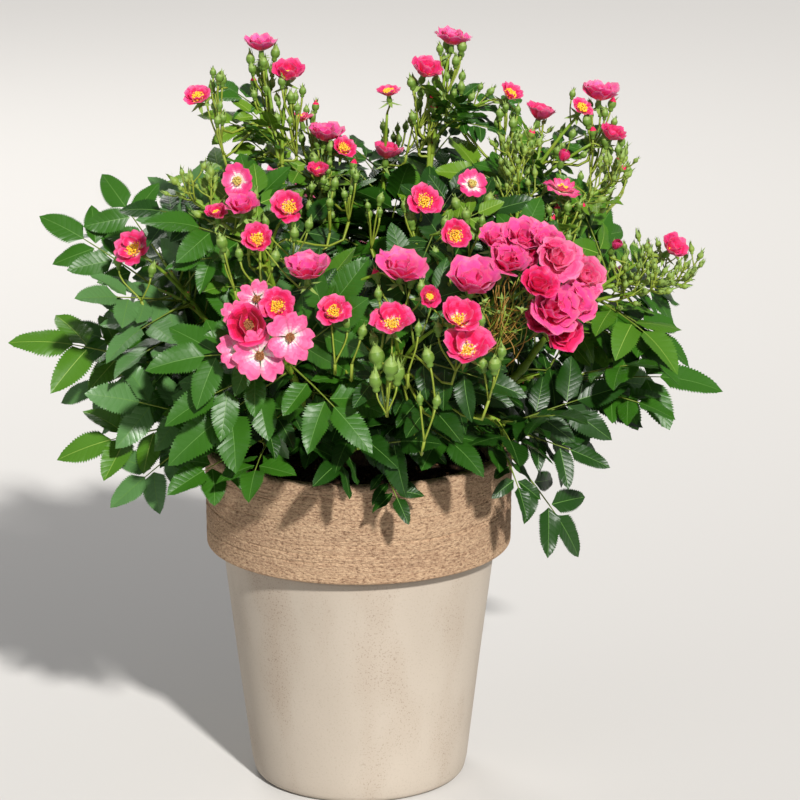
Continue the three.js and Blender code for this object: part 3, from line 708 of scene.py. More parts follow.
def leaf_parts(length, pairs, breadth, arch, random):
    """The leaflets of a leaf along +X, and its stalk."""
    form = LEAF_FORMS[pairs]
    leaflets = []
    for foot, share in zip(form["feet"], form["lengths"]):
        for side in (1, -1):
            size = length * share * random.uniform(*LEAFLET_SIZES)
            leaflet = LEAFLET.shape(size, size * breadth, random)
            turn = side * math.radians(random.uniform(*LEAFLET_TURNS))
            droop = math.radians(random.uniform(*LEAFLET_DROOPS))
            roll = math.radians(random.uniform(*LEAFLET_ROLLS))
            move = (Matrix.Rotation(turn, 3, "Z") @ Matrix.Rotation(droop, 3, "Y")
                    @ Matrix.Rotation(roll, 3, "X"))
            leaflet = leaflet @ np.array(move).T
            leaflet += [foot * length + random.uniform(-2, 2) * MM, side * LEAFLET_STALK, 0]
            leaflets.append(leaflet)
    size = length * (1 - form["end"])
    leaflet = LEAFLET.shape(size, size * breadth * END_BREADTH, random)
    leaflet += [form["end"] * length, 0, 0]
    leaflets.append(leaflet)
    for leaflet in leaflets:
        leaflet[:, 2] -= leaflet[:, 0] ** 2 / 2 / arch
    reach = form["end"] * length + 2 * MM
    stalk = Curve([0, 0, 0], [reach / 2, 0, 0], [reach, 0, -reach * reach / 2 / arch])
    return leaflets, stalk


def turned_curve(curve, turn, root):
    """A copy of a curve, turned and moved."""
    made = copy(curve)
    made.line = curve.line @ turn.T + root
    made.slopes = curve.slopes @ turn.T
    return made


def part_of(curve, share):
    """The first part of a curve."""
    shares = np.linspace(0, share, CURVE_STEPS)
    made = copy(curve)
    made.line = curve.point(shares)
    made.slopes = curve.tangent(shares)
    made.length = curve.length * share
    made.shares = np.linspace(0, 1, CURVE_STEPS)
    return made


# The space at the front where leaves would hide the rim, and how many points of one may be there
RIM_FRONT = -10 * MM
RIM_SIDE = 146 * MM
RIM_ABOVE = 14 * MM
RIM_POINTS = 6


def hides_rim(points):
    """Whether a leaf hangs before the rim, or lies low over the compost, at the front."""
    near = (points[:, 1] < RIM_FRONT) & (np.abs(points[:, 0]) < RIM_SIDE)
    return (near & (points[:, 2] < POT_HEIGHT + RIM_ABOVE)).sum() > RIM_POINTS


# The share of leaves with three pairs of leaflets, and the breadth of a leaflet to its length
THREE_PAIRS = 0.35
NARROW_LEAFLETS = (0.46, 0.56)
BROAD_LEAFLETS = (0.54, 0.64)
# The radius, in metres, along which a leaf arches over
LEAF_ARCHES = (0.28, 0.9)
TIP_ARCH = 0.42
# The share of a leaf that may be in space already taken, and how much more deep in the crown
LEAF_ROOM = 0.12
DEEP_ROOM = 0.16
DEEP_PART = (0.4, 0.7)
# The share of a leaf that may stand before a flower
BEFORE_FLOWERS = 0.05


def grow_leaf(heap, root, along, towards, length, tone, random, tip=False, room=LEAF_ROOM):
    """Adds a leaf where it fits, and says whether it did."""
    pairs = 3 if random.random() < THREE_PAIRS else 2
    breadth = random.uniform(*(NARROW_LEAFLETS if tone in ("dark", "deep") else BROAD_LEAFLETS))
    arch = TIP_ARCH if tip else random.uniform(*LEAF_ARCHES)
    leaflets, stalk = leaf_parts(length, pairs, breadth, arch, random)
    turn = basis(along, towards)
    leaflets = [leaflet @ turn.T + root for leaflet in leaflets]
    points = np.concatenate(leaflets)
    if not in_box(points) or meets_pot(points) or not (tip or in_crown(points)):
        return False
    if not tip and hides_rim(points):
        return False
    samples = np.concatenate([leaflet[LEAFLET.samples] for leaflet in leaflets])
    depth = np.linalg.norm((points.mean(axis=0) - CROWN_CENTRE) / CROWN_RADII)
    room += DEEP_ROOM * (1 - smooth(*DEEP_PART, depth))
    if crowded(samples) > room or flowery[cells_of(samples)].mean() > BEFORE_FLOWERS:
        return False
    take(samples)
    rib = YOUNG_RIB_SLOT if tone in ("young", "bright") else RIB_SLOT
    slots = np.where(LEAFLET.slots == 1, rib, LEAF_TONES.index(tone))
    for leaflet in leaflets:
        heap.add(leaflet, LEAFLET.triangles, slots, LEAFLET.places)
    radii = [STALK_RADIUS * part for part in STALK_TAPER]
    heap.add(*limb(turned_curve(stalk, turn, root), radii, 3, STALK_STEPS), LEAF_STALK_SLOT)
    return True


# Blossom

petals = Heap()
greens = Heap()
PETAL_SLOTS = {tint: slot for slot, tint in enumerate(PETAL_TINTS)}
GREEN_SLOTS = {tint: slot for slot, tint in enumerate(GREEN_TINTS)}

PETAL_ROWS = 8
PETAL_COLUMNS = 6
PETAL_THICKNESS = 0.3 * MM
# Its middle line is drawn a little past its length, since its edge is uneven
LINE_REACH = 1.1
LINE_STEPS = 60
# Where along a petal its tip starts to roll back, and where it is rolled back in full
ROLL = (0.62, 1.05)
# The rounding of its edge, the width of its notch, and its ripples
EDGE_ROUND = 0.24
NOTCH_WIDTH = 0.2
RIPPLE = 0.03
# The width of its foot, to that of its blade
FOOT_WIDTH = 0.14


def petal(length, half_width, rise, curl, cross, notch, wave, phase, taper):
    """A petal from the origin along +X whose inner side is up: both faces, closed at the edge.
    rise is its slope at the foot and the tip, in degrees, curl rolls the tip back, cross lifts
    its sides, and a larger taper makes the foot narrower."""
    s = np.linspace(0, 1, PETAL_ROWS + 1)
    fine = np.linspace(0, LINE_REACH, LINE_STEPS)
    slope = np.radians(rise[0] + (rise[1] - rise[0]) * fine - curl * smooth(*ROLL, fine))
    step = length * LINE_REACH / (LINE_STEPS - 1)
    out = np.append(0, np.cumsum(np.cos(slope[:-1]))) * step
    lift = np.append(0, np.cumsum(np.sin(slope[:-1]))) * step
    c = np.linspace(-1, 1, PETAL_COLUMNS + 1)
    reach = 1 - EDGE_ROUND * c ** 4 - notch * np.exp(-(c / NOTCH_WIDTH) ** 2)
    reach = reach + RIPPLE * np.sin(7 * c + phase)
    along = s[:, None] * reach[None]
    x = np.interp(along, fine, out)
    z = np.interp(along, fine, lift)
    tilt = np.interp(along, fine, slope)
    blade = np.sin(np.minimum(s * 1.9, 1.75)) ** taper
    half = half_width * (FOOT_WIDTH + (1 - FOOT_WIDTH) * blade)
    y = half[:, None] * c[None]
    lift_off = cross * y * y / length
    lift_off = lift_off + wave * length * np.sin(5.5 * c[None] + phase) * s[:, None] ** 2
    face = np.stack([x - np.sin(tilt) * lift_off, y, z + np.cos(tilt) * lift_off], axis=2)
    edge = np.ones((PETAL_ROWS + 1, PETAL_COLUMNS + 1))
    edge[[0, -1]] = 0
    edge[:, [0, -1]] = 0
    back = face - PETAL_THICKNESS * edge[..., None] * np.stack(
        [-np.sin(tilt), np.zeros_like(tilt), np.cos(tilt)], axis=2)
    return face.reshape(-1, 3), back.reshape(-1, 3)


FACE = grid(PETAL_ROWS + 1, PETAL_COLUMNS + 1)[:, ::-1]
FACE_ROW = FACE.min(axis=1) // (PETAL_COLUMNS + 1)
FACE_COLUMN = FACE.min(axis=1) % (PETAL_COLUMNS + 1)

# Each kind of bloom: its width, how far its foot lies behind the middle of its petals, how far
# it turns up, how loosely its petals stand, its rings from the outside in, the tints of a petal
# from foot to tip on its inner and its outer side, and the tint and spread of its stamens. A ring
# gives how many petals it has, their length and half width, their slopes at the foot and at the
# tip, their curl, cross, notch and wave, and their taper. Lengths are in mm, angles in degrees.
BLOOMS = {
    "open": dict(width=53, depth=2, up=0.2,
        rings=[(5, 26, 12.2, 22, 6, 14, 0.16, 0.13, 0.05, 1.7)],
        inner="cream blush shell light candy candy pink candy",
        outer="blush shell light light candy candy candy pink",
        stamens="brown", spread=4.4),
    "cup": dict(width=39, depth=6, up=0.75, loose=2.4,
        rings=[(5, 21, 11, 26, 40, 24, 0.45, 0.07, 0.05, 1.1),
               (3, 17, 8.5, 40, 62, 0, 0.6, 0.05, 0.06, 1.1)],
        inner="yellow cream light rose hot hot rose pink",
        outer="blush candy rose hot hot hot rose pink",
        stamens="yellow", spread=9.2),
    "deep": dict(width=33, depth=9, up=0.5, loose=1.8,
        rings=[(4, 23, 14, 30, 62, 20, 0.55, 0.04, 0.06, 1.1),
               (2, 18, 11, 50, 84, 0, 0.6, 0.04, 0.05, 1.1)],
        inner="gold rose ruby crimson crimson ruby hot rose",
        outer="shell candy pink rose rose pink pink candy",
        stamens="brown", spread=4.6),
    "eye": dict(width=43, depth=5, up=0.5,
        rings=[(5, 22, 11.5, 24, 30, 20, 0.35, 0.08, 0.05, 1.3)],
        inner="cream cream blush light pink rose magenta rose",
        outer="blush light rose magenta magenta magenta magenta rose",
        stamens="tan", spread=5.2),
    "flat": dict(width=50, depth=5, up=4.0,
        rings=[(5, 24, 10.5, 16, 8, 14, 0.2, 0.16, 0.08, 1.6),
               (5, 18, 8, 34, 40, 10, 0.4, 0.12, 0.08, 1.4)],
        inner="yellow cream blush light candy candy pink rose",
        outer="blush light candy pink pink pink rose rose",
        stamens="yellow", spread=6),
    "double": dict(width=43, depth=11, up=3.4, loose=1.6,
        rings=[(5, 26, 15.5, 24, 64, 34, 0.45, 0.08, 0.08, 1.1),
               (4, 21.5, 13, 44, 80, 22, 0.5, 0.12, 0.09, 1.1),
               (3, 16, 9, 58, 96, 0, 0.65, 0.05, 0.08, 1.1)],
        inner="rose hot rose candy orchid orchid orchid candy",
        outer="cream shell rose hot hot magenta magenta orchid"),
    "small": dict(width=26, depth=8, up=1.6,
        rings=[(5, 17, 9.5, 30, 66, 34, 0.6, 0.07, 0.07, 1.1),
               (4, 14, 7.5, 54, 88, 6, 0.7, 0.04, 0.07, 1.1)],
        inner="yellow shell rose rose magenta hot rose rose",
        outer="shell pink rose hot rose rose rose pink",
        stamens="yellow", spread=4.4),
    "half": dict(width=12, depth=8, up=1.8, sepal_rise=60,
        rings=[(4, 13, 6, 66, 100, -4, 0.9, 0, 0.02, 1.1)],
        inner="cream pink hot hot hot hot hot hot",
        outer="blush pink hot hot hot hot rose rose"),
}
BLOOMS["ripe"] = dict(
    BLOOMS["double"], up=1.2,
    inner="ruby ruby hot hot ruby hot hot rose",
    outer="shell rose hot hot ruby hot hot hot")
BLOOMS["faded"] = dict(
    BLOOMS["double"], depth=10, up=0.8,
    inner="rose candy light candy candy pink candy light",
    outer="blush light candy pink pink candy pink candy")
# Chance in how petals stand: turn in radians, slope and curl in degrees, size and waves as shares
PETAL_TURN = 0.1
PETAL_SLACK = 9
PETAL_CURL = 16
PETAL_SIZES = (0.92, 1.08)
PETAL_WAVES = (0.6, 1.5)
# How far along a petal its tints stray, in rows
STREAK = 0.6
# A petal's foot from the middle, and the step up to the next ring and the next petal, in mm
PETAL_FOOT = 1.6
RING_STEP = 0.5
PETAL_STEP = 0.12

# Tints of the filaments and anthers of each kind of stamens
STAMEN_TINTS = {"yellow": ("yellow", "anther"), "brown": ("cream", "brown"), "tan": ("cream", "heart")}
STAMENS = 44
# Heights and sizes in mm
STAMEN_HEIGHTS = (3.4, 5.6)
FILAMENT_FOOT = 0.6
FILAMENT_HALF = 0.28
ANTHER_SIZES = (0.95, 1.45)
HEART_PROFILE = [(2.2, -0.6), (2.1, 0.8), (1.4, 2.2), (0, 2.6)]
ANTHER = np.array([[1, 0, 0], [-1, 0, 0], [0, 1, 0], [0, -1, 0], [0, 0, 1.3], [0, 0, -1.3]])
OCTAHEDRON_FACES = np.array([[0, 2, 4], [2, 1, 4], [1, 3, 4], [3, 0, 4],
                             [2, 0, 5], [1, 2, 5], [3, 1, 5], [0, 3, 5]])
FILAMENT_FACES = np.array([[0, 1, 3], [1, 2, 3], [2, 0, 3]])

# The receptacle behind a bloom, by radius and height in mm, and its sepals
RECEPTACLE = [(0.2, -9.5), (2.0, -9.0), (3.3, -6.8), (3.5, -4.6), (2.7, -2.4), (2.9, -0.6),
              (1.2, 0.9)]
RECEPTACLE_DEPTH = 9
SEPALS = 5
SEPAL_ROWS = 2
SEPAL_SIZES = (0.85, 1.15)
SEPAL_SPREAD = 14
BLOOM_SEPALS = dict(radius=2.6 * MM, width=4.2 * MM, curl=-20)
BLOOM_SEPAL_LENGTH = 13 * MM
BLOOM_SEPAL_RISE = -28

# A bud from its foot up by radius and height in mm, at its full width, and its sepals
BUD_PROFILE = [(0.6, -5.6), (2.5, -4.6), (2.9, -3.2), (2.5, -1.8), (4.3, 0.2), (5.0, 2.6),
               (4.4, 5.6), (2.5, 8.4), (0.15, 11.2)]
BUD_FOOT = 5.6
BUD_WIDTH = 9.4 * MM
BUD_SIDES = 6
BUD_SEPALS_AT = 7.5
BUD_SEPAL_RADIUS = 4.4 * MM
BUD_SEPAL_WIDTH = 3.8 * MM
BUD_SEPAL_LENGTHS = {"bud": 12.5 * MM, "fresh": 16 * MM}
BUD_SEPAL_RISE = 84
BUD_SEPAL_CURL = 14
# The heights above which a bud shows pink, and otherwise the tint of its sepals
PINK_ABOVE = 10.6
SEPALS_ABOVE = 11


def add_stamens(turn, centre, kind, spread, random):
    """A ring of thin filaments with an anther on each, round a small heart."""
    filament, head = (PETAL_SLOTS[tint] for tint in STAMEN_TINTS[kind])
    for i in range(STAMENS):
        angle = i * GOLDEN_ANGLE
        out = spread * MM * math.sqrt((i + 0.5) / STAMENS) * random.uniform(0.85, 1.15)
        height = random.uniform(*STAMEN_HEIGHTS) * MM
        top = np.array([out * math.cos(angle), out * math.sin(angle), height])
        foot = top * [0.35, 0.35, 0] + [0, 0, FILAMENT_FOOT * MM]
        side = np.array([math.sin(angle), -math.cos(angle), 0]) * FILAMENT_HALF * MM
        push = np.array([math.cos(angle), math.sin(angle), 0]) * FILAMENT_HALF * MM
        points = np.array([foot - side, foot + side, foot + push, top])
        petals.add(points @ turn.T + centre, FILAMENT_FACES, filament)
        size = random.uniform(*ANTHER_SIZES) * MM
        blob = ANTHER * size * random.uniform(0.75, 1.2, 3) + top
        petals.add(blob @ turn.T + centre, OCTAHEDRON_FACES, head)
    points, triangles = lathe([(r * MM, z * MM) for r, z in HEART_PROFILE], 8)
    petals.add(points @ turn.T + centre, triangles, PETAL_SLOTS["heart"])


def sepal(length, width, rise, curl):
    """A narrow pointed blade along +X, with its inner side up."""
    s = np.linspace(0, 1, SEPAL_ROWS + 1)[:, None]
    c = np.array([-1.0, 0, 1.0])[None]
    slope = np.radians(rise - curl * s)
    half = width / 2 * (1 - s) ** 0.8 * (1 + 0.5 * s)
    x = np.cumsum(np.cos(slope) * length / SEPAL_ROWS, axis=0) - length / SEPAL_ROWS
    z = np.cumsum(np.sin(slope) * length / SEPAL_ROWS, axis=0) - length / SEPAL_ROWS
    points = np.stack([x + 0 * c, half * c, z + 0.25 * half * np.abs(c)], axis=2)
    return points.reshape(-1, 3), grid(SEPAL_ROWS + 1, 3)[:, ::-1]


def add_sepals(turn, centre, spin, random, *, radius, length, width, rise, curl, count=SEPALS):
    """Sepals round the centre. rise and curl are in degrees."""
    for i in range(count):
        points, triangles = sepal(length * random.uniform(*SEPAL_SIZES), width,
                                  rise + random.uniform(-SEPAL_SPREAD, SEPAL_SPREAD), curl)
        angle = spin + 2 * math.pi * i / count
        points = (points + [radius, 0, 0]) @ np.array(Matrix.Rotation(angle, 3, "Z")).T
        greens.add(points @ turn.T + centre, triangles, GREEN_SLOTS["sepal"])


def add_bloom(form, centre, facing, random, scale):
    """A bloom whose petals leave the centre, with its receptacle and sepals behind it. Returns
    the place where its stalk ends."""
    spin = random.uniform(0, 2 * math.pi)
    turn = upright(facing, spin)
    inner, outer = (np.array([PETAL_SLOTS[tint] for tint in form[side].split()])
                    for side in ("inner", "outer"))
    for level, ring in enumerate(form["rings"]):
        count, length, width, first, last, curl, cross, notch, wave, taper = ring
        for i in range(count):
            angle = 2 * math.pi * (i + 0.5 * level) / count
            angle += random.uniform(-PETAL_TURN, PETAL_TURN)
            slack = random.uniform(-PETAL_SLACK, PETAL_SLACK) * form.get("loose", 1)
            size = random.uniform(*PETAL_SIZES) * scale
            face, back = petal(length * MM * size, width * MM * size,
                               (first + slack * 0.5, last + slack),
                               curl + random.uniform(-PETAL_CURL, PETAL_CURL), cross, notch,
                               wave * random.uniform(*PETAL_WAVES), random.uniform(0, 6), taper)
            round_axis = np.array(Matrix.Rotation(angle, 3, "Z"))
            shift = np.array([PETAL_FOOT * MM, 0, RING_STEP * MM * level + PETAL_STEP * MM * (i % 2)])
            streak = random.normal(0, STREAK, PETAL_COLUMNS)
            rows = np.round(FACE_ROW + streak[FACE_COLUMN] * (FACE_ROW > 0)).astype(int)
            rows = np.clip(rows, 0, PETAL_ROWS - 1)
            for points, faces, slots in ((face, FACE, inner), (back, FACE[:, ::-1], outer)):
                petals.add((points + shift) @ round_axis.T @ turn.T + centre, faces, slots[rows])
    if "stamens" in form:
        add_stamens(turn, centre, form["stamens"], form["spread"] * scale, random)
    cup = [(r * MM * (0.6 + 0.4 * scale), z * MM) for r, z in RECEPTACLE]
    points, triangles = lathe(cup, 8)
    greens.add(points @ turn.T + centre, triangles, GREEN_SLOTS["bud"])
    add_sepals(turn, centre, spin, random, length=BLOOM_SEPAL_LENGTH * (0.5 + 0.5 * scale),
               rise=form.get("sepal_rise", BLOOM_SEPAL_RISE), **BLOOM_SEPALS)
    return centre - facing * RECEPTACLE_DEPTH * MM


def add_bud(base, along, size, pink, random, tint):
    """A bud whose foot is at the base: a round swelling, the closed sepals and their tips."""
    turn = upright(along, random.uniform(0, 6))
    profile = [(r * MM * size, (z + BUD_FOOT) * MM * size) for r, z in BUD_PROFILE]
    points, triangles = lathe(profile, BUD_SIDES)
    heights = points[triangles[:, 0], 2] / size / MM
    if pink:
        tip = heights > PINK_ABOVE
        petals.add(points @ turn.T + base, triangles[tip], PETAL_SLOTS["hot"])
        triangles = triangles[~tip]
        heights = heights[~tip]
    slots = np.where(heights > SEPALS_ABOVE, GREEN_SLOTS["sepal"], GREEN_SLOTS[tint])
    greens.add(points @ turn.T + base, triangles, slots)
    top = base + along * BUD_SEPALS_AT * MM * size
    add_sepals(turn, top, random.uniform(0, 6), random, radius=BUD_SEPAL_RADIUS * size,
               length=BUD_SEPAL_LENGTHS[tint] * size, width=BUD_SEPAL_WIDTH * size,
               rise=BUD_SEPAL_RISE, curl=BUD_SEPAL_CURL)


def pedicel(root, start, end, heading, radius, tint, hold=0.35):
    """A thin stalk from a shoot to a bloom or bud, which it meets along the heading. A larger
    hold keeps more of it on that line."""
    reach = np.linalg.norm(end - root)
    bend = root + start * 0.4 * reach
    turn = end - heading * hold * reach
    curve = Curve(root, bend, turn, end)
    greens.add(*limb(curve, [radius, radius * 0.8, radius * 0.95], 4, 6), GREEN_SLOTS[tint])
    return curve


# Growth

# Leaves: how they leave a shoot, how many there are and how long. High up they are smaller.
LEAF_FORWARD = 0.35
LEAF_OUTWARD = (-0.1, 0.55)
LEAF_DROOP = (-0.45, -0.1)
LEAF_TILT = (0.35, 1.2)
LEAF_SPREAD = 0.18
LEAF_SHARES = (0.06, 0.93)
CANE_LEAF_SHARES = (0.45, 1.0)
LEAF_TRIES = 420
LEAVES_A_MASS = 34
LARGEST_LEAF = 142 * MM
SMALLEST_LEAF = 84 * MM
HIGH_LEAVES = (550 * MM, 660 * MM)
HIGH_LEAF_SHARE = 0.5
YOUNG_HIGH_LEAVES = 0.15
SAME_TONE = 0.8
# The leaf at the tip of a shoot, which is tried again a little smaller where it doesn't fit
TIP_LEAF_TILT = 0.9
TIP_LEAF_ROOM = 0.45
TIP_TRIES = 14
TIP_SHRINK = 0.96
TIP_SPREAD = 0.06
# How much of a shoot is built where its leaf doesn't fit at all
BARE_SHOOT_END = 0.5
# Small leaves up a shoot that stands above the crown
STALK_LEAVES = 7
STALK_LEAF_SIZES = (50 * MM, 80 * MM)
STALK_LEAF_ROOM = 0.35
STALK_LEAF_TONES = ["mid", "bright", "dark", "young"]
# The crown's ragged edge: the largest share of leaves left out, where it starts and is reached
# on the way out, and the height below which they are
EDGE_THINNING = 0.75
EDGE_DEPTHS = (0.7, 0.95)
THINNED_BELOW = 560 * MM
# Finer twigs along the shoots
TWIGS_A_SHOOT = 3
TWIG_SHARES = (0.25, 0.85)
TWIG_LENGTHS = (45 * MM, 85 * MM)
TWIG_RISE = (-0.15, 0.3)
TWIG_RADII = [1.7 * MM, 1.0 * MM]
TWIG_CROWDING = 0.2
TWIG_END_LEAVES = (95 * MM, 130 * MM)
# The tones that the leaves of a mass are drawn from
TONE_MIX = {
    # This mix, for the masses at the left, draws most on the greyer, bluer green of painted sheen
    "silver": ["silver", "mid", "silver", "bright"],
    "mid": ["mid", "deep", "mid", "bright"],
    # This mix, mostly the darkest greens, goes to the masses in the middle, low at the front and at the
    # back: painted shade where the crown shades itself, on top of the leaves' own darker tone
    "dark": ["deep", "dark", "mid", "deep"],
    "young": ["mid", "young", "bright", "deep"],
}
# Light comes from the front. Blooms and leaves turn to it, and less so further back.
TOWARDS_LIGHT = np.array([0.2, -1.0, 0.0])
LIGHT_PULL = 0.9
LIGHT_DEPTHS = (20 * MM, 90 * MM)
LEAF_PULL = 0.75
LEAF_LIGHT_DEPTHS = (20 * MM, 130 * MM)
TO_CAMERA = unit(CAMERA_PLACE - CROWN_CENTRE)

# The space kept free before a bloom: its radius and length, and in mm how far it starts before
# the middle of the petals
FLOWER_ROOM = 19 * MM
FLOWER_VIEW = 75 * MM
LONG_FLOWER_VIEW = 1.8 * FLOWER_VIEW
FLOWER_LIFT = 6
VIEW_STEPS = 7
VIEW_NARROWING = 0.3
VIEW_BALL = np.random.default_rng(5).normal(size=(160, 3))
VIEW_BALL /= np.linalg.norm(VIEW_BALL, axis=1, keepdims=True)
# Spaces kept free towards the camera: how far below a point, their radius and length, in mm
TIP_VIEWS = [(0, 20, 130)]
BUD_VIEWS = [(0, 20, 130), (28, 14, 130)]
SPRAY_VIEWS = [(0, 13, 110), (26, 12, 110), (46, 9, 110)]
CANE_VIEWS = [(0, 13, 160)]
CANE_VIEW_STEPS = 14
# Tips further forward than this are kept in view
FRONT_TIPS = 30 * MM

# Blooms leave a shoot this far below its end, or at one of these shares of it
BLOOM_STALK = 24 * MM
BLOOM_STALK_RADIUS = 1.1 * MM
BLOOM_SHARES = (0.5, 0.58, 0.66, 0.74, 0.82)
BLOOM_ROOT = 10 * MM
FACING_SPREAD = 0.2
PINK_TIPS = 0.05
BUD_STALK_RADIUS = 0.8 * MM
BUD_LENGTH = 18 * MM

# Sprays: buds whose stalks part at one fork. The inset, heights and widths are in mm.
SPRAY_HEIGHT = 40 * MM
SPRAY_INSET = 8
SPRAY_ROOM = 12 * MM
SPRAY_SHARES = np.linspace(0.3, 0.9, 13)
SPRAY_RISE = 14 * MM
SPRAY_STALK_RADIUS = 1.6 * MM
SPRAY_BUD_STALK_RADIUS = 1.1 * MM
SPRAY_BUD_SIZES = (0.75, 1.15)
SPRAY_HEIGHTS = (-18, 2)
SPRAY_BUD_GAP = 1.25
COMMON_BUD = 10
# What each mm costs by which a stalk's fork lies lower than it should
FALL_COST = 4
# The spray at a tip, and another under it where the mass is high
TIP_SPRAY_WIDTH = 7.2
TIP_SPRAY_BUDS = 7
LOWER_SPRAY = 26 * MM
LOWER_SPRAY_BUDS = 6
LOWER_SPRAY_ROOM = 1.3 * SPRAY_ROOM
# Below a bloom: how far down a spray is, the width of its buds and how many there are, and its
# room as a share of the bloom's width
UNDER_BLOOM = 12 * MM
UNDER_BLOOM_BUDS = (9.4, 6)
UNDER_BLOOM_ROOM = 0.6
UNDER_HIGH_BLOOM = 18 * MM
UNDER_HIGH_BLOOM_BUDS = (8.2, 7)
UNDER_HIGH_BLOOM_ROOM = 0.52
LOWEST_BUDS = (7.4, 6)
LOWEST_SPRAY = 24 * MM
LOWEST_SPRAY_ROOM = 15 * MM
# Buds on stalks of their own up a high shoot: where, and the ranges of stalks and widths in mm
SHOOT_BUDS = np.linspace(0.5, 0.8, 6)
SHOOT_BUD_STALKS = (14, 30)
SHOOT_BUD_WIDTHS = (5.4, 7.6)

# Trusses: many small buds on branched stalks. Pairs of numbers are in mm.
TRUSS_START = 0.42
TRUSS_PART = 0.5
TRUSS_STALKS = 8
TRUSS_STALK_LENGTHS = (28, 40)
TRUSS_STALK_RADIUS = 1.05 * MM
TRUSS_BUDS = 5
TRUSS_END_WIDTHS = (5.4, 7.6)
TRUSS_BUD_WIDTHS = (4.0, 6.2)
TRUSS_BUD_STALKS = (6, 17)

# The tangle of old stalks at the big cluster
OLD_STALKS = 70
OLD_STALK_RADIUS = 0.6 * MM
OLD_STALKS_FOOT = [120, -176, 470]
OLD_STALKS_HEAD = [144, -186, 522]
OLD_STALKS_SPREAD = np.array([20, 9, 16]) * MM
OLD_STALKS_FRONT = np.array([0, -1.0, 0.25])
OLD_STALKS_VIEW = (26 * MM, 90 * MM)
OLD_SEPALS = dict(radius=0.5 * MM, length=9 * MM, width=3 * MM, rise=30, curl=10, count=4)
FADED_STALKS = 0.6

twigs = Heap()
canes = Heap()
curves = {}


def outward_at(point):
    return unit(point - HEART)


def leaf_light(point):
    """How a leaf is pulled to the light, which comes from the front."""
    return TOWARDS_LIGHT * LEAF_PULL * (1 - smooth(*LEAF_LIGHT_DEPTHS, point[1]))


def side_way(curve, share, i, chance, random, aside=None):
    """A place on a curve, its heading there, and a way to its side that turns from one i to the
    next."""
    root = curve.point(share)
    along = curve.tangent(share)
    across = unit(np.cross(along, outward_at(root) if aside is None else aside))
    return root, along, turned_about(across, along, i * GOLDEN_ANGLE + random.uniform(0, chance))


def clear_view(centre, facing, room, reach, flower=False):
    """Keeps leaves, and before a flower buds, off a place and out of the space before it."""
    for share in np.linspace(0, 1, VIEW_STEPS):
        points = centre + facing * reach * share + VIEW_BALL * room * (1 - VIEW_NARROWING * share)
        take(points)
        if flower:
            flowery[cells_of(points)] = True


def clear_views(point, views):
    for below, room, reach in views:
        clear_view(point - UP * below * MM, TO_CAMERA, room * MM, reach * MM)


def put_bloom(kind, centre, size, root, start, random, tint):
    """A bloom on its stalk, facing out, to the light and up. size is its width in mm, and how
    far it turns up where that isn't the rule of its kind."""
    form = BLOOMS[kind]
    width, rise = (*size, form["up"])[:2]
    outward = outward_at(centre)
    stray = random.normal(0, FACING_SPREAD, 3)
    turned = LIGHT_PULL * (1 - smooth(*LIGHT_DEPTHS, centre[1]))
    facing = unit(outward * [1, 1, 0.3] + turned * TOWARDS_LIGHT + UP * rise + stray)
    scale = width / form["width"]
    base = add_bloom(form, centre - facing * form["depth"] * MM * scale, facing, random, scale)
    pedicel(root, start, base, facing, BLOOM_STALK_RADIUS, tint)
    room = FLOWER_ROOM * (0.3 + 0.7 * scale)
    before = centre + facing * FLOWER_LIFT * MM
    clear_view(before, unit(facing + outward * 1.5), room, FLOWER_VIEW, True)
    if turned:
        clear_view(before, TO_CAMERA, room, LONG_FLOWER_VIEW, True)


def put_bud(root, start, base, heading, width, pink, random, stalk=BUD_STALK_RADIUS, free=False,
            tint="bud"):
    """A bud on its stalk, unless it would stand before a flower and isn't free to. Says
    whether it grew."""
    body = base + np.linspace(0, BUD_LENGTH, 5)[:, None] * heading
    if not in_box(body) or not free and flowery[cells_of(body)].any():
        return False
    pedicel(root, start, base, heading, stalk, "stalk")
    add_bud(base, heading, width / BUD_WIDTH, pink, random, tint)
    return True


def put_buds(curve, random):
    """Buds on short stalks round the upper part of a shoot."""
    for i, share in enumerate(SHOOT_BUDS):
        root, along, around = side_way(curve, share, i, 1, random)
        heading = unit(along + around * random.uniform(0.2, 0.6) + UP * 0.6)
        length = random.uniform(*SHOOT_BUD_STALKS) * MM
        base = root + unit(along + around * 0.8 + UP * 0.4) * length
        width = random.uniform(*SHOOT_BUD_WIDTHS) * MM
        pink = random.random() < PINK_TIPS
        put_bud(root, unit(along + around), base, heading, width, pink, random)


def stalk_cost(root, fork):
    """The length of a stalk from a root to a fork, and more where it wouldn't rise."""
    return np.linalg.norm(fork - root) + FALL_COST * max(0, root[2] + SPRAY_RISE - fork[2])


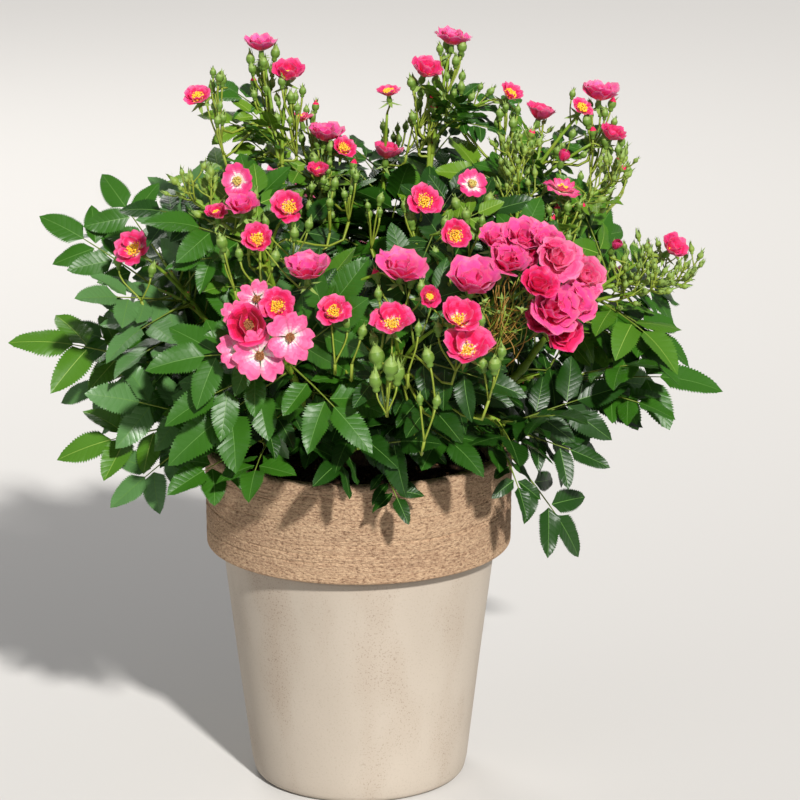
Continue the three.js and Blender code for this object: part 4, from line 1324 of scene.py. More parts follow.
def put_spray(shoots, head, width, count, random, room=SPRAY_ROOM, free=False):
    """Stout buds whose stalks part at one fork below them, which has a stalk of its own. Returns
    the share of its shoot where that stalk starts."""
    fork = head - UP * SPRAY_HEIGHT + unit([0, 0, head[2]] - head) * SPRAY_INSET * MM
    _, nearest, share = min(
        (stalk_cost(shoot["curve"].point(share), fork), i, share)
        for i, shoot in enumerate(shoots) for share in SPRAY_SHARES)
    curve = shoots[nearest]["curve"]
    start = curve.tangent(share)
    side = np.array([1.0, 0, 0])
    grown = 0
    placed = []
    for i in range(3 * count):
        around = turned_about(side, UP, i * GOLDEN_ANGLE + random.uniform(0, 0.8))
        base = (head + around * random.uniform(0.35, 1.0) * room
                + UP * random.uniform(*SPRAY_HEIGHTS) * MM)
        if len(placed) == count or any(
                np.linalg.norm(base - other) < SPRAY_BUD_GAP * width * MM for other in placed):
            continue
        placed.append(base)
        bud = random.uniform(*SPRAY_BUD_SIZES) * width * MM
        heading = unit(UP + around * random.uniform(0, 0.3))
        pink = random.random() < PINK_TIPS
        grown += put_bud(fork, unit(base - fork), base, heading, bud, pink, random,
                         SPRAY_BUD_STALK_RADIUS, free)
    if grown:
        heading = unit(UP + start * 0.3)
        pedicel(curve.point(share), start, fork, heading, SPRAY_STALK_RADIUS, "stalk", 0.6)
    return share


def put_truss(curve, random):
    """A branched spray of many small buds at the end of a shoot. Returns how much of the shoot
    carries it."""
    last = TRUSS_START
    for i in range(TRUSS_STALKS):
        share = TRUSS_START + TRUSS_PART * i / (TRUSS_STALKS - 1)
        root, along, around = side_way(curve, share, i, 0.6, random)
        heading = unit(along * 0.5 + around * (1.15 - 0.6 * share) + UP * 0.8)
        end = root + heading * (random.uniform(*TRUSS_STALK_LENGTHS) * MM * (1.35 - 0.75 * share))
        if flowery[cells_of(end)]:
            continue
        last = share
        side = pedicel(root, unit(along + around), end, heading, TRUSS_STALK_RADIUS, "stalk")
        width = random.uniform(*TRUSS_END_WIDTHS) * MM
        pink = random.random() < 2 * PINK_TIPS
        put_bud(side.point(0.97), heading, end + heading * 4 * MM, heading, width, pink, random,
                tint="fresh")
        for j in range(TRUSS_BUDS):
            foot = side.point(0.38 + 0.56 * (j + random.uniform(0, 0.8)) / TRUSS_BUDS)
            turned = turned_about(unit(np.cross(heading, UP + 0.01)), heading,
                                  j * GOLDEN_ANGLE + random.uniform(0, 1))
            way = unit(heading * 0.8 + turned * random.uniform(0.6, 1.4) + UP * 0.2)
            base = foot + way * random.uniform(*TRUSS_BUD_STALKS) * MM
            width = random.uniform(*TRUSS_BUD_WIDTHS) * MM
            put_bud(foot, way, base, unit(way + UP * 0.6), width, False, random, tint="fresh")
    return last


def put_old_stalks(random):
    """A tangle of thin bent stalks, browned in the sun, that fan up to a cluster of blooms."""
    foot, head = place_of(OLD_STALKS_FOOT), place_of(OLD_STALKS_HEAD)
    for i in range(OLD_STALKS):
        root = foot + (head - foot) * random.uniform(0, 0.6) + random.normal(0, 9, 3) * MM
        end = head + random.normal(0, 1, 3) * OLD_STALKS_SPREAD
        if flowery[cells_of(end)]:
            continue
        way = unit(end - root)
        tint = "faded" if random.random() < FADED_STALKS else "stalk"
        start = unit(way + random.normal(0, 0.8, 3))
        heading = unit(way + UP * 0.5 + random.normal(0, 0.5, 3))
        pedicel(root, start, end, heading, OLD_STALK_RADIUS, tint)
        if i % 3 == 0:
            add_sepals(upright(heading, random.uniform(0, 6)), end, 0, random, **OLD_SEPALS)
    clear_view(0.5 * (foot + head), OLD_STALKS_FRONT, *OLD_STALKS_VIEW)


def grow_blooms(mass, shoots, random):
    """The blooms of a mass. Keeps the places of its buds in view as well."""
    tint = "faded" if mass["name"] == "cluster" else "stalk"
    for shoot, tip in zip(shoots, mass["tips"]):
        curve, kind = shoot["curve"], shoot["kind"]
        if kind in BLOOMS:
            shoot["end"] = 1 - BLOOM_STALK / curve.length
            put_bloom(kind, shoot["tip"], tip[4:], curve.point(shoot["end"]),
                      curve.tangent(shoot["end"]), random, tint)
        elif kind != "leaf" and shoot["tip"][1] < FRONT_TIPS:
            clear_views(shoot["tip"], BUD_VIEWS if kind == "bud" else TIP_VIEWS)
    for kind, *row in mass.get("more", []):
        centre = place_of(row[:3])
        if kind == "bud":
            clear_views(centre, SPRAY_VIEWS)
            continue
        _, share, curve = min(
            ((np.linalg.norm(shoot["curve"].point(share) - centre + UP * BLOOM_ROOT), share,
              shoot["curve"]) for shoot in shoots for share in BLOOM_SHARES),
            key=lambda found: found[0])
        put_bloom(kind, centre, row[3:], curve.point(share), curve.tangent(share), random, tint)
    if mass["name"] == "cluster":
        put_old_stalks(random)


def grow_buds(mass, shoots, random):
    """The buds of a mass: at its tips, under its blooms and at places of their own."""
    high = mass["tone"] == "young"
    for shoot, tip in zip(shoots, mass["tips"]):
        kind, place = shoot["kind"], shoot["tip"]
        if kind == "bud":
            width = tip[4] if len(tip) > 4 else TIP_SPRAY_WIDTH
            shoot["end"] = put_spray([shoot], place, width, TIP_SPRAY_BUDS, random)
            if high:
                put_spray([shoot], place - UP * LOWER_SPRAY, width, LOWER_SPRAY_BUDS, random,
                          LOWER_SPRAY_ROOM)
        elif kind == "truss":
            shoot["end"] = put_truss(shoot["curve"], random)
        elif kind in BLOOMS and high:
            under = place - UP * UNDER_HIGH_BLOOM
            put_buds(shoot["curve"], random)
            put_spray([shoot], under, *UNDER_HIGH_BLOOM_BUDS, random,
                      UNDER_HIGH_BLOOM_ROOM * tip[4] * MM, True)
            put_spray([shoot], under - UP * LOWEST_SPRAY, *LOWEST_BUDS, random,
                      LOWEST_SPRAY_ROOM, True)
        elif kind in BLOOMS and kind != "open" and mass["name"] != "cluster":
            put_spray([shoot], place - UP * UNDER_BLOOM, *UNDER_BLOOM_BUDS, random,
                      UNDER_BLOOM_ROOM * tip[4] * MM)
    for kind, *row in mass.get("more", []):
        if kind == "bud":
            put_spray(shoots, place_of(row[:3]), row[3], row[4], random,
                      SPRAY_ROOM * row[3] / COMMON_BUD)


def show_cane(curve, low, high):
    """Keeps leaves from between a cane and the front."""
    for share in np.linspace(low, high, CANE_VIEW_STEPS):
        clear_views(curve.point(share), CANE_VIEWS)


def finer_twigs(shoots, random):
    """Short twigs that leave the shoots, for leaves to sit on."""
    grown = []
    for shoot in shoots:
        for i in range(TWIGS_A_SHOOT):
            share = random.uniform(*TWIG_SHARES) * shoot["end"]
            root, along, around = side_way(shoot["curve"], share, i, 2, random, UP)
            heading = unit(around + along * 0.6 + outward_at(root) * 0.7)
            length = random.uniform(*TWIG_LENGTHS)
            end = root + heading * length + UP * random.uniform(*TWIG_RISE) * length
            line = np.linspace(root, end, 6)[2:]
            if crowded(line) > TWIG_CROWDING or meets_pot(line) or not in_crown(line):
                continue
            grown.append(dict(curve=Curve(root, root + heading * length * 0.5, end), end=1.0,
                              kind="leaf", twig=True))
    return grown


# Gaps between the sprays at the crown's edge: the middle of each and its radius, and how much
# further off the middle of a leaf keeps, all in mm
GAPS = [(-272, -20, 508, 40), (-296, -20, 392, 46), (-262, -70, 400, 26), (312, -40, 338, 62),
        (330, -40, 462, 32), (262, -90, 405, 34), (-240, -60, 470, 22), (-180, 20, 640, 40),
        (190, -175, 352, 30), (-190, -160, 392, 26)]
GAP_MARGIN = 22


def thinned(centre, random):
    """True where the crown is open, and by chance at its edge, which is ragged."""
    for *place, radius in GAPS:
        if np.linalg.norm(centre - place_of(place)) < radius * MM + GAP_MARGIN * MM:
            return True
    depth = np.linalg.norm((centre - CROWN_CENTRE) / CROWN_RADII)
    chance = EDGE_THINNING * smooth(*EDGE_DEPTHS, depth) * (centre[2] < THINNED_BELOW)
    return random.random() < chance


def grow_small_leaves(heap, shoot, random):
    """Small leaves up a shoot that stands above the crown."""
    for i in range(STALK_LEAVES):
        share = (0.25 + 0.55 * i / STALK_LEAVES) * shoot["end"]
        root, along, around = side_way(shoot["curve"], share, i, 1, random, UP + 0.01)
        heading = unit(around + along * 0.7 + UP * 0.2)
        towards = UP + outward_at(root) * 0.8 + leaf_light(root) + random.normal(0, 0.2, 3)
        tone = STALK_LEAF_TONES[random.integers(4)]
        grow_leaf(heap, root, heading, towards, random.uniform(*STALK_LEAF_SIZES), tone, random,
                  True, STALK_LEAF_ROOM)


def grow_end_leaf(heap, shoot, random):
    """The leaf at the end of a shoot, which reaches its tip where it has one. A twig on which
    it doesn't grow is bare."""
    end = shoot["curve"].point(1.0)
    outward = outward_at(end)
    if "tip" not in shoot:
        along = unit(shoot["curve"].tangent(1.0) + outward * 0.4)
        towards = UP + outward * 0.8 + leaf_light(end)
        size = random.uniform(*TWIG_END_LEAVES)
        shoot["bare"] = not grow_leaf(heap, end, along, towards, size, shoot["tone"], random)
        return
    reach = shoot["tip"] - end
    length = np.linalg.norm(reach)
    towards = unit(UP + outward * TIP_LEAF_TILT + leaf_light(end))
    for attempt in range(TIP_TRIES):
        aim = unit(towards + random.normal(0, TIP_SPREAD * attempt, 3))
        along = unit(reach + aim * length * length / 2 / TIP_ARCH)
        size = length * TIP_SHRINK ** attempt
        if grow_leaf(heap, end, along, aim, size, shoot["tone"], random, True, TIP_LEAF_ROOM):
            return
    shoot["end"] = BARE_SHOOT_END


def grow_leaves(heap, mass, shoots, carrier, random):
    """The leaves at the ends of the shoots, and then others along them and the cane."""
    tones = TONE_MIX[mass["tone"]]
    for shoot in shoots:
        shoot["tone"] = tones[random.integers(4)]
        if shoot["kind"] == "leaf":
            grow_end_leaf(heap, shoot, random)
        elif mass["tone"] == "young":
            grow_small_leaves(heap, shoot, random)
    shoots[:] = [shoot for shoot in shoots if not shoot.get("bare")]
    lines = shoots + [dict(curve=carrier, end=1.0, tone=tones[1], cane=True)]
    grown = 0
    for i in range(LEAF_TRIES):
        if grown == LEAVES_A_MASS:
            break
        line = lines[i % len(lines)]
        shares = CANE_LEAF_SHARES if "cane" in line else LEAF_SHARES
        share = random.uniform(*shares) * line["end"]
        root, along, around = side_way(line["curve"], share, i, 1, random, UP)
        outward = outward_at(root)
        heading = unit(around + along * LEAF_FORWARD + outward * random.uniform(*LEAF_OUTWARD))
        heading[2] = max(heading[2], random.uniform(*LEAF_DROOP))
        towards = (UP + outward * random.uniform(*LEAF_TILT) + leaf_light(root)
                   + random.normal(0, LEAF_SPREAD, 3))
        length = LARGEST_LEAF + (SMALLEST_LEAF - LARGEST_LEAF) * i / LEAF_TRIES
        length *= random.uniform(0.85, 1.0)
        length *= 1 - HIGH_LEAF_SHARE * smooth(*HIGH_LEAVES, root[2])
        tone = line["tone"] if random.random() < SAME_TONE else tones[0]
        if root[2] > HIGH_LEAVES[0] and random.random() < YOUNG_HIGH_LEAVES:
            tone = "young"
        if not thinned(root + heading * length * 0.6, random):
            grown += grow_leaf(heap, root, heading, towards, length, tone, random)


# The bark of a cane: the height of knots and ridges as shares of its radius, and the length of a
# knot as a share of its length
KNOT_HEIGHT = 0.22
KNOT_LENGTH = 0.012
RIDGE_DEPTH = 0.035


def bark_relief(seed, knots):
    """Low ridges along a cane and a swelling at each knot."""
    random = np.random.default_rng(seed)
    places = np.sort(random.uniform(0.05, 0.98, knots))
    phase = random.uniform(0, 6, 4)

    def relief(angle, share):
        ridges = 1 + RIDGE_DEPTH * np.sin(5 * angle + 9 * share + phase[0])
        ridges = ridges + 0.5 * RIDGE_DEPTH * np.sin(8 * angle - 14 * share + phase[1])
        ridges = ridges + 0.6 * RIDGE_DEPTH * np.sin(31 * share + phase[2])
        for place in places:
            ridges = ridges + KNOT_HEIGHT * np.exp(-((share - place) / KNOT_LENGTH) ** 2)
        return ridges

    return relief


PRICKLE_FACES = np.array([[0, 1, 4], [1, 2, 4], [2, 3, 4], [3, 0, 4]])
PRICKLE_HOOK = 0.35
CANE_PRICKLE = 4.5 * MM
SHOOT_PRICKLE = 2.6 * MM
SHOOT_PRICKLES = 7
GREEN_CANE_SLOT, OLD_CANE_SLOT, PRICKLE_SLOT = range(3)


def add_prickles(heap, curve, radii, count, length, random):
    """Broad-footed prickles that point a little down the cane."""
    for _ in range(count):
        share = random.uniform(0.04, 0.97)
        along = curve.tangent(share)
        across = unit(np.cross(along, UP + 0.01))
        out = turned_about(across, along, random.uniform(0, 2 * math.pi))
        side = np.cross(along, out)
        radius = np.interp(share, [0, 1], [radii[0], radii[-1]])
        foot = curve.point(share) + out * radius * 0.85
        size = length * random.uniform(0.6, 1.2)
        tip = foot + (out - along * PRICKLE_HOOK) * size
        points = np.array([foot + along * size * 0.45, foot + side * size * 0.16,
                           foot - along * size * 0.45, foot - side * size * 0.16, tip])
        heap.add(points, PRICKLE_FACES, PRICKLE_SLOT)


# Sides of a cane, and the steps along it, its knots and its prickles: first those from the stem
CANE_SIDES = 12
CANE_PARTS = (46, 6, 16)
SIDE_CANE_PARTS = (26, 3, 8)
# The share of a cane from the stem that is old and brown, and how much that wavers
OLD_PART = 0.22
OLD_PART_EDGE = 0.08


def grow_canes():
    """The canes of all masses, those from the stem before those that leave them."""
    for index, mass in enumerate(MASSES):
        random = np.random.default_rng([SEED, 900, index])
        curve = bough_curve(mass, curves)
        curves[mass["name"]] = curve
        primary = "ring" in mass
        radii = bough_radii(mass)
        steps, knots, prickles = CANE_PARTS if primary else SIDE_CANE_PARTS
        points, triangles = limb(curve, radii, CANE_SIDES, steps, bark_relief(index, knots))
        share = triangles.min(axis=1) // CANE_SIDES / steps
        edge = OLD_PART + OLD_PART_EDGE * np.sin(triangles.min(axis=1) * 2.4)
        slots = np.where((share < edge) & primary, OLD_CANE_SLOT, GREEN_CANE_SLOT)
        canes.add(points, triangles, slots)
        add_prickles(canes, curve, radii, prickles, CANE_PRICKLE, random)


LEAF_PIECES = {
    "leaves_left": ["left", "left_tip", "left_low", "left_middle", "back_left_low",
                    "back_left"],
    "leaves_front": ["front_left", "front", "front_left_low", "front_middle", "front_low",
                     "cluster", "right_low"],
    "leaves_right": ["right", "right_tip", "right_shoulder", "upper_right", "right_back",
                     "back_right", "back_right_low"],
    "leaves_back": ["back", "back_low", "back_top", "inner_left", "top_left", "top_right",
                    "upper_middle"],
}
# Shoots and canes that stay in sight, with the shares of their length between which they do
SHOWN_SHOOTS = {"right": (0.0, 0.7), "left_middle": (0.1, 0.6), "left": (0.3, 0.8),
                "front_left": (0.2, 0.5)}
SHOWN_CANES = {"right": (0.6, 1.0)}


def add_shoot(shoot, random):
    """A shoot with its prickles, or a twig, as far as its end."""
    curve = shoot["curve"]
    if shoot["end"] < 1:
        curve = part_of(curve, shoot["end"])
    if "twig" in shoot:
        twigs.add(*limb(curve, TWIG_RADII, 7, 5), GREEN_CANE_SLOT)
        return
    radii = [shoot["radius"], TWIG_TIP_RADIUS]
    twigs.add(*limb(curve, radii, 7, 12), GREEN_CANE_SLOT)
    add_prickles(twigs, curve, radii, SHOOT_PRICKLES, SHOOT_PRICKLE, random)


def grow_plant():
    """Canes first, then all blossom, then the leaves that still find room. Returns the leaves
    of each piece."""
    grow_canes()
    grown = {}
    for index, mass in enumerate(MASSES):
        random = np.random.default_rng([SEED, index])
        shoots = shoots_of(mass)
        grow_blooms(mass, shoots, random)
        if mass["name"] in SHOWN_SHOOTS:
            show_cane(shoots[0]["curve"], *SHOWN_SHOOTS[mass["name"]])
        grown[mass["name"]] = (mass, shoots, random)
    for name, shares in SHOWN_CANES.items():
        show_cane(curves[name], *shares)
    for mass, shoots, random in grown.values():
        grow_buds(mass, shoots, random)
    leaves = {name: Heap() for name in LEAF_PIECES}
    for name, members in LEAF_PIECES.items():
        for member in members:
            mass, shoots, random = grown[member]
            shoots = shoots + finer_twigs(shoots, random)
            grow_leaves(leaves[name], mass, shoots, curves[member], random)
            for shoot in shoots:
                add_shoot(shoot, random)
    return leaves


# Materials

def linear(red, green, blue):
    """A colour given as 0 to 255 on a screen, as the shader's own numbers."""
    values = (v / 255 for v in (red, green, blue))
    return (*(v / 12.92 if v <= 0.04045 else ((v + 0.055) / 1.055) ** 2.4 for v in values), 1)


class Nodes:
    """Builds a material's nodes in code."""

    def __init__(self, name):
        self.material = bpy.data.materials.new(name)
        self.material.use_nodes = True
        self.tree = self.material.node_tree
        self.shader = self.tree.nodes["Principled BSDF"]

    def node(self, kind, settings=(), **inputs):
        made = self.tree.nodes.new(kind)
        for name, value in dict(settings).items():
            setattr(made, name, value)
        for name, value in inputs.items():
            self.put(made.inputs[name.replace("_", " ")], value)
        return made

    def put(self, socket, value):
        if isinstance(value, bpy.types.NodeSocket):
            self.tree.links.new(value, socket)
        else:
            socket.default_value = value

    def math(self, operation, first, second=0.0):
        made = self.tree.nodes.new("ShaderNodeMath")
        made.operation = operation
        self.put(made.inputs[0], first)
        self.put(made.inputs[1], second)
        return made.outputs[0]

    def noise(self, scale, detail=3.0, roughness=0.55, vector=None, distortion=0.0):
        made = self.node("ShaderNodeTexNoise", Scale=scale, Detail=detail, Roughness=roughness,
                         Distortion=distortion)
        self.put(made.inputs["Vector"], vector or self.place())
        return made.outputs["Fac"]

    def place(self, stretch=None):
        """The point on the object, which may be squeezed along its axes."""
        point = self.node("ShaderNodeTexCoord").outputs["Object"]
        if stretch:
            point = self.node("ShaderNodeMapping", Vector=point, Scale=stretch).outputs[0]
        return point

    def ramp(self, value, *stops):
        """Turns a value into a colour. Each stop is a value and a colour as on a screen."""
        made = self.node("ShaderNodeValToRGB", Fac=value)
        elements = made.color_ramp.elements
        while len(elements) < len(stops):
            elements.new(0.5)
        for element, (position, tint) in zip(elements, stops):
            element.position = position
            element.color = linear(*tint)
        return made.outputs[0]

    def mask(self, value, low, high, first=0.0, last=1.0):
        """Turns a value into a strength, from first at low to last at high."""
        made = self.node("ShaderNodeValToRGB", Fac=value)
        for element, position, grey in zip(made.color_ramp.elements, (low, high), (first, last)):
            element.position = position
            element.color = (grey, grey, grey, 1)
        return made.outputs[0]

    def mix(self, share, first, tint):
        """Mixes in a share of a colour given as on a screen."""
        made = self.tree.nodes.new("ShaderNodeMix")
        made.data_type = "RGBA"
        self.put(made.inputs[0], share)
        self.put(made.inputs[6], first)
        self.put(made.inputs[7], linear(*tint))
        return made.outputs[2]

    def bump(self, height, distance, strength=1.0, normal=None):
        made = self.node("ShaderNodeBump", Height=height, Distance=distance, Strength=strength)
        if normal:
            self.put(made.inputs["Normal"], normal)
        return made.outputs[0]

    def finish(self, colour, roughness, normal=None, **others):
        self.put(self.shader.inputs["Base Color"], colour)
        self.put(self.shader.inputs["Roughness"], roughness)
        if normal:
            self.put(self.shader.inputs["Normal"], normal)
        for name, value in others.items():
            self.shader.inputs[name.replace("_", " ")].default_value = value
        return self.material


# Veins of a leaf: how far they slant forward, and how many there are
VEIN_LEAN = 0.17
VEIN_RATE = 28.0


def leaf_material(name, tint, roughness):
    """Glossy green with side veins that run forward from the middle, and a fine grain."""
    nodes = Nodes(name)
    flat = nodes.node("ShaderNodeUVMap", {"uv_map": "form"}).outputs[0]
    parts = nodes.node("ShaderNodeSeparateXYZ", Vector=flat)
    across = nodes.math("ABSOLUTE", parts.outputs[1])
    slant = nodes.math("MULTIPLY", across, VEIN_LEAN)
    lengthwise = nodes.math("SUBTRACT", parts.outputs[0], slant)
    wave = nodes.math("SINE", nodes.math("MULTIPLY", lengthwise, VEIN_RATE))
    vein = nodes.math("POWER", nodes.math("ABSOLUTE", wave), 0.5)
    grain = nodes.noise(420.0, 2.0)
    height = nodes.math("ADD", nodes.math("MULTIPLY", vein, 0.8), nodes.math("MULTIPLY", grain, 0.5))
    normal = nodes.bump(height, 0.5 * MM, 0.4)
    return nodes.finish(linear(*tint), roughness, normal, Specular_IOR_Level=0.36)


def petal_material(name, tint):
    """Soft petal with fine veins and a satin sheen."""
    nodes = Nodes(name)
    crinkle = nodes.noise(230.0, 4.0, 0.6, distortion=1.5)
    normal = nodes.bump(crinkle, 0.5 * MM, 0.5)
    return nodes.finish(linear(*tint), 0.5, normal, Sheen_Weight=0.05, Specular_IOR_Level=0.35,
                        Subsurface_Weight=0.4, Subsurface_Scale=4 * MM,
                        Subsurface_Radius=(1.0, 0.5, 0.5))


def green_material(name, tint, roughness=0.5):
    nodes = Nodes(name)
    grain = nodes.noise(500.0, 3.0)
    normal = nodes.bump(grain, 0.3 * MM, 0.6)
    return nodes.finish(linear(*tint), roughness, normal, Specular_IOR_Level=0.4)


def leaf_materials():
    made = [leaf_material("leaf_" + tone, *LEAF_TINTS[tone]) for tone in LEAF_TONES]
    made.append(green_material("leaf_rib", RIB_TINT))
    made.append(green_material("leaf_rib_young", YOUNG_RIB_TINT))
    made.append(green_material("leaf_stalk", LEAF_STALK_TINT))
    return made


def cane_materials():
    green = Nodes("cane_green")
    streak = green.noise(60.0, 4.0, 0.6, green.place((1, 1, 0.25)))
    tint = green.ramp(streak, (0.3, (98, 130, 32)), (0.55, (122, 154, 40)), (0.75, (142, 134, 52)))
    fissure = green.noise(240.0, 4.0, 0.6, green.place((1, 1, 0.3)))
    green.finish(tint, 0.5, green.bump(fissure, 0.5 * MM, 0.7), Specular_IOR_Level=0.4)
    old = Nodes("cane_old")
    streak = old.noise(90.0, 5.0, 0.65, old.place((1, 1, 0.3)))
    tint = old.ramp(streak, (0.3, (70, 50, 34)), (0.5, (112, 88, 60)), (0.7, (148, 126, 96)))
    old.finish(tint, 0.8, old.bump(streak, 1.2 * MM, 1.0))
    prickle = green_material("prickle", (150, 84, 52), 0.45)
    return [green.material, old.material, prickle]


# Pot

def pot_swell(random):
    """Uneven combed ridges round the band, and a faint waver in the body."""
    rows = 400
    ridge = random.normal(0, 1, rows)
    drift = random.uniform(0, 6, 6)
    grooves = NECK_HEIGHT + BAND_HEIGHT * np.sort(random.uniform(0.1, 0.95, COMB_GROOVES))

    def swell(angle, height):
        waver = (height + 0.9 * MM * np.sin(2 * angle + drift[0])
                 + 0.6 * MM * np.sin(5 * angle + drift[1])
                 + 0.3 * MM * np.sin(13 * angle + drift[2] + height * 60))
        row = waver / COMB_PITCH
        cut = np.cos(2 * math.pi * row)
        strength = np.interp(row, np.arange(rows), 0.55 + 0.45 * np.abs(ridge))
        low, high = NECK_HEIGHT + COMB_MARGIN, POT_HEIGHT - COMB_MARGIN
        on_band = smooth(low, low + 4 * MM, height) * (1 - smooth(high - 2 * MM, high, height))
        broken = 0.55 + 0.45 * np.sin(3 * angle + 2.1 * row) * np.sin(7 * angle - 1.3 * row)
        comb = COMB_DEPTH * 0.5 * (cut - 1) * strength * broken * on_band
        for i, groove in enumerate(grooves):
            depth = GROOVE_DEPTH * (0.7 + 0.3 * np.sin((2 + i % 3) * angle + i))
            drifted = waver - groove + GROOVE_DRIFT * np.sin(angle + 2.3 * i + drift[4])
            comb = comb - depth * np.exp(-(drifted / GROOVE_WIDTH) ** 2) * on_band
        rough = 0.2 * MM * np.sin(61 * angle + 9 * np.sin(height * 900)) * on_band
        body = 0.35 * MM * np.sin(3 * angle + drift[3] + height * 18) * (height < NECK_HEIGHT)
        return comb + rough + body

    return swell


def quarter(radius, height, round_radius, first, last):
    """Points of a round from one angle to another, in degrees."""
    angles = np.radians(np.linspace(first, last, ROUND_STEPS))
    return [(radius + round_radius * math.cos(a), height + round_radius * math.sin(a))
            for a in angles]


def pot_profile():
    """The pot's outline by radius and height, from its underside out, up, in and down."""
    profile = [(0, 0), (BASE_RADIUS * 0.6, 0)]
    profile += quarter(BASE_RADIUS - BASE_ROUND, BASE_ROUND, BASE_ROUND, -90, -8)
    for height in np.linspace(2 * BASE_ROUND, NECK_HEIGHT - 7 * MM, BODY_ROWS):
        share = height / NECK_HEIGHT
        profile.append((BASE_RADIUS + (NECK_RADIUS - BASE_RADIUS) * share, height))
    profile.append((NECK_RADIUS - 0.4 * MM, NECK_HEIGHT - 3.5 * MM))
    profile.append((NECK_RADIUS - NECK_GROOVE, NECK_HEIGHT - NECK_GROOVE_FOOT))
    profile.append((NECK_RADIUS - NECK_GROOVE, NECK_HEIGHT - 0.2 * MM))
    profile += quarter(BAND_FOOT_RADIUS - BAND_ROUND, NECK_HEIGHT + BAND_ROUND, BAND_ROUND, -90, 0)
    low, high = NECK_HEIGHT + BAND_ROUND + 1 * MM, POT_HEIGHT - LIP_ROUND - 1 * MM
    for height in np.linspace(low, high, int(BAND_HEIGHT / COMB_PITCH * COMB_ROWS)):
        share = (height - NECK_HEIGHT) / BAND_HEIGHT
        profile.append((BAND_FOOT_RADIUS + (RIM_RADIUS - BAND_FOOT_RADIUS) * share, height))
    profile += quarter(RIM_RADIUS - LIP_ROUND, POT_HEIGHT - LIP_ROUND, LIP_ROUND, 0, 90)
    inner = RIM_RADIUS - RIM_WALL
    profile += quarter(inner + LIP_ROUND, POT_HEIGHT - LIP_ROUND, LIP_ROUND, 90, 180)[1:]
    for height in [*np.linspace(POT_HEIGHT - 9 * MM, SOIL_EDGE - 3 * MM, 6), POT_FLOOR]:
        profile.append((float(inner_radius(height)), height))
    return profile + [(0, POT_FLOOR)]


def pot_piece():
    profile = pot_profile()
    swell = pot_swell(np.random.default_rng(SEED + 1))
    points, triangles = lathe(profile, POT_SIDES, swell)
    row = triangles.min(axis=1) // POT_SIDES
    band_start = next(i for i, (r, z) in enumerate(profile) if z > NECK_HEIGHT - NECK_GROOVE_FOOT)
    heap = Heap()
    heap.add(points, triangles, np.where(row >= band_start, 1, 0))
    piece = heap.build("pot_clay", [slip_material(), clay_material()], "pot")
    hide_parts("pot")


def slip_material():
    """Smooth pale slip with soft brownish smudges, peppered where they are darkest."""
    nodes = Nodes("slip")
    cloud = nodes.noise(7.0, 2.0, 0.5, nodes.place((1, 1, 0.7)))
    tint = nodes.ramp(cloud, (0.35, (174, 163, 149)), (0.65, (184, 173, 159)))
    smudge = nodes.mask(nodes.noise(15.0, 2.0, 0.5, nodes.place((1.3, 1.3, 0.45))), 0.5, 0.74)
    tint = nodes.mix(nodes.math("MULTIPLY", smudge, 0.42), tint, (160, 142, 124))
    speck = nodes.mask(nodes.noise(640.0, 2.0, 0.5), 0.58, 0.68)
    strength = nodes.math("ADD", nodes.math("MULTIPLY", smudge, 0.55), 0.16)
    tint = nodes.mix(nodes.math("MULTIPLY", speck, strength), tint, (120, 104, 88))
    normal = nodes.bump(nodes.noise(300.0, 4.0, 0.6), 0.35 * MM, 0.5)
    normal = nodes.bump(nodes.noise(45.0, 3.0), 0.6 * MM, 0.3, normal)
    return nodes.finish(tint, 0.66, normal, Specular_IOR_Level=0.3)


def clay_material():
    """Bare rough clay torn by the comb, speckled, with painted highlight on raised grains and painted
    shade in pits.
    """
    nodes = Nodes("clay")
    cloud = nodes.noise(10.0, 3.0, 0.6, nodes.place((1, 1, 2.5)), 0.5)
    tint = nodes.ramp(cloud, (0.3, (164, 132, 106)), (0.5, (178, 146, 117)), (0.7, (188, 156, 125)))
    streak = nodes.noise(34.0, 5.0, 0.7, nodes.place((0.45, 0.45, 12)))
    tint = nodes.mix(nodes.mask(streak, 0.45, 0.66, last=0.35), tint, (204, 176, 145))
    grain = nodes.noise(420.0, 3.0, 0.7, nodes.place((0.65, 0.65, 1.3)))
    # Painted highlight: the raised grains of the bump below are painted paler
    tint = nodes.mix(nodes.mask(grain, 0.52, 0.66, last=0.7), tint, (214, 184, 150))
    # Painted shade: the pits of the same grain are painted darker
    tint = nodes.mix(nodes.mask(grain, 0.36, 0.47, 0.7, 0.0), tint, (108, 78, 58))
    comb = nodes.noise(46.0, 4.0, 0.65, nodes.place((0.35, 0.35, 10)))
    normal = nodes.bump(grain, 3.0 * MM, 1.0)
    normal = nodes.bump(comb, 1.2 * MM, 0.5, normal)
    return nodes.finish(tint, 0.92, normal, Specular_IOR_Level=0.2)


# Compost

CRUMB = np.array([[1, 0, 0], [-1, 0, 0], [0, 1, 0], [0, -1, 0], [0, 0, 1], [0, 0, -1]], float)


def soil_height(radius, edge):
    return np.interp(radius, [0, SOIL_FLAT_RADIUS, edge], [SOIL_TOP, SOIL_TOP, SOIL_EDGE])


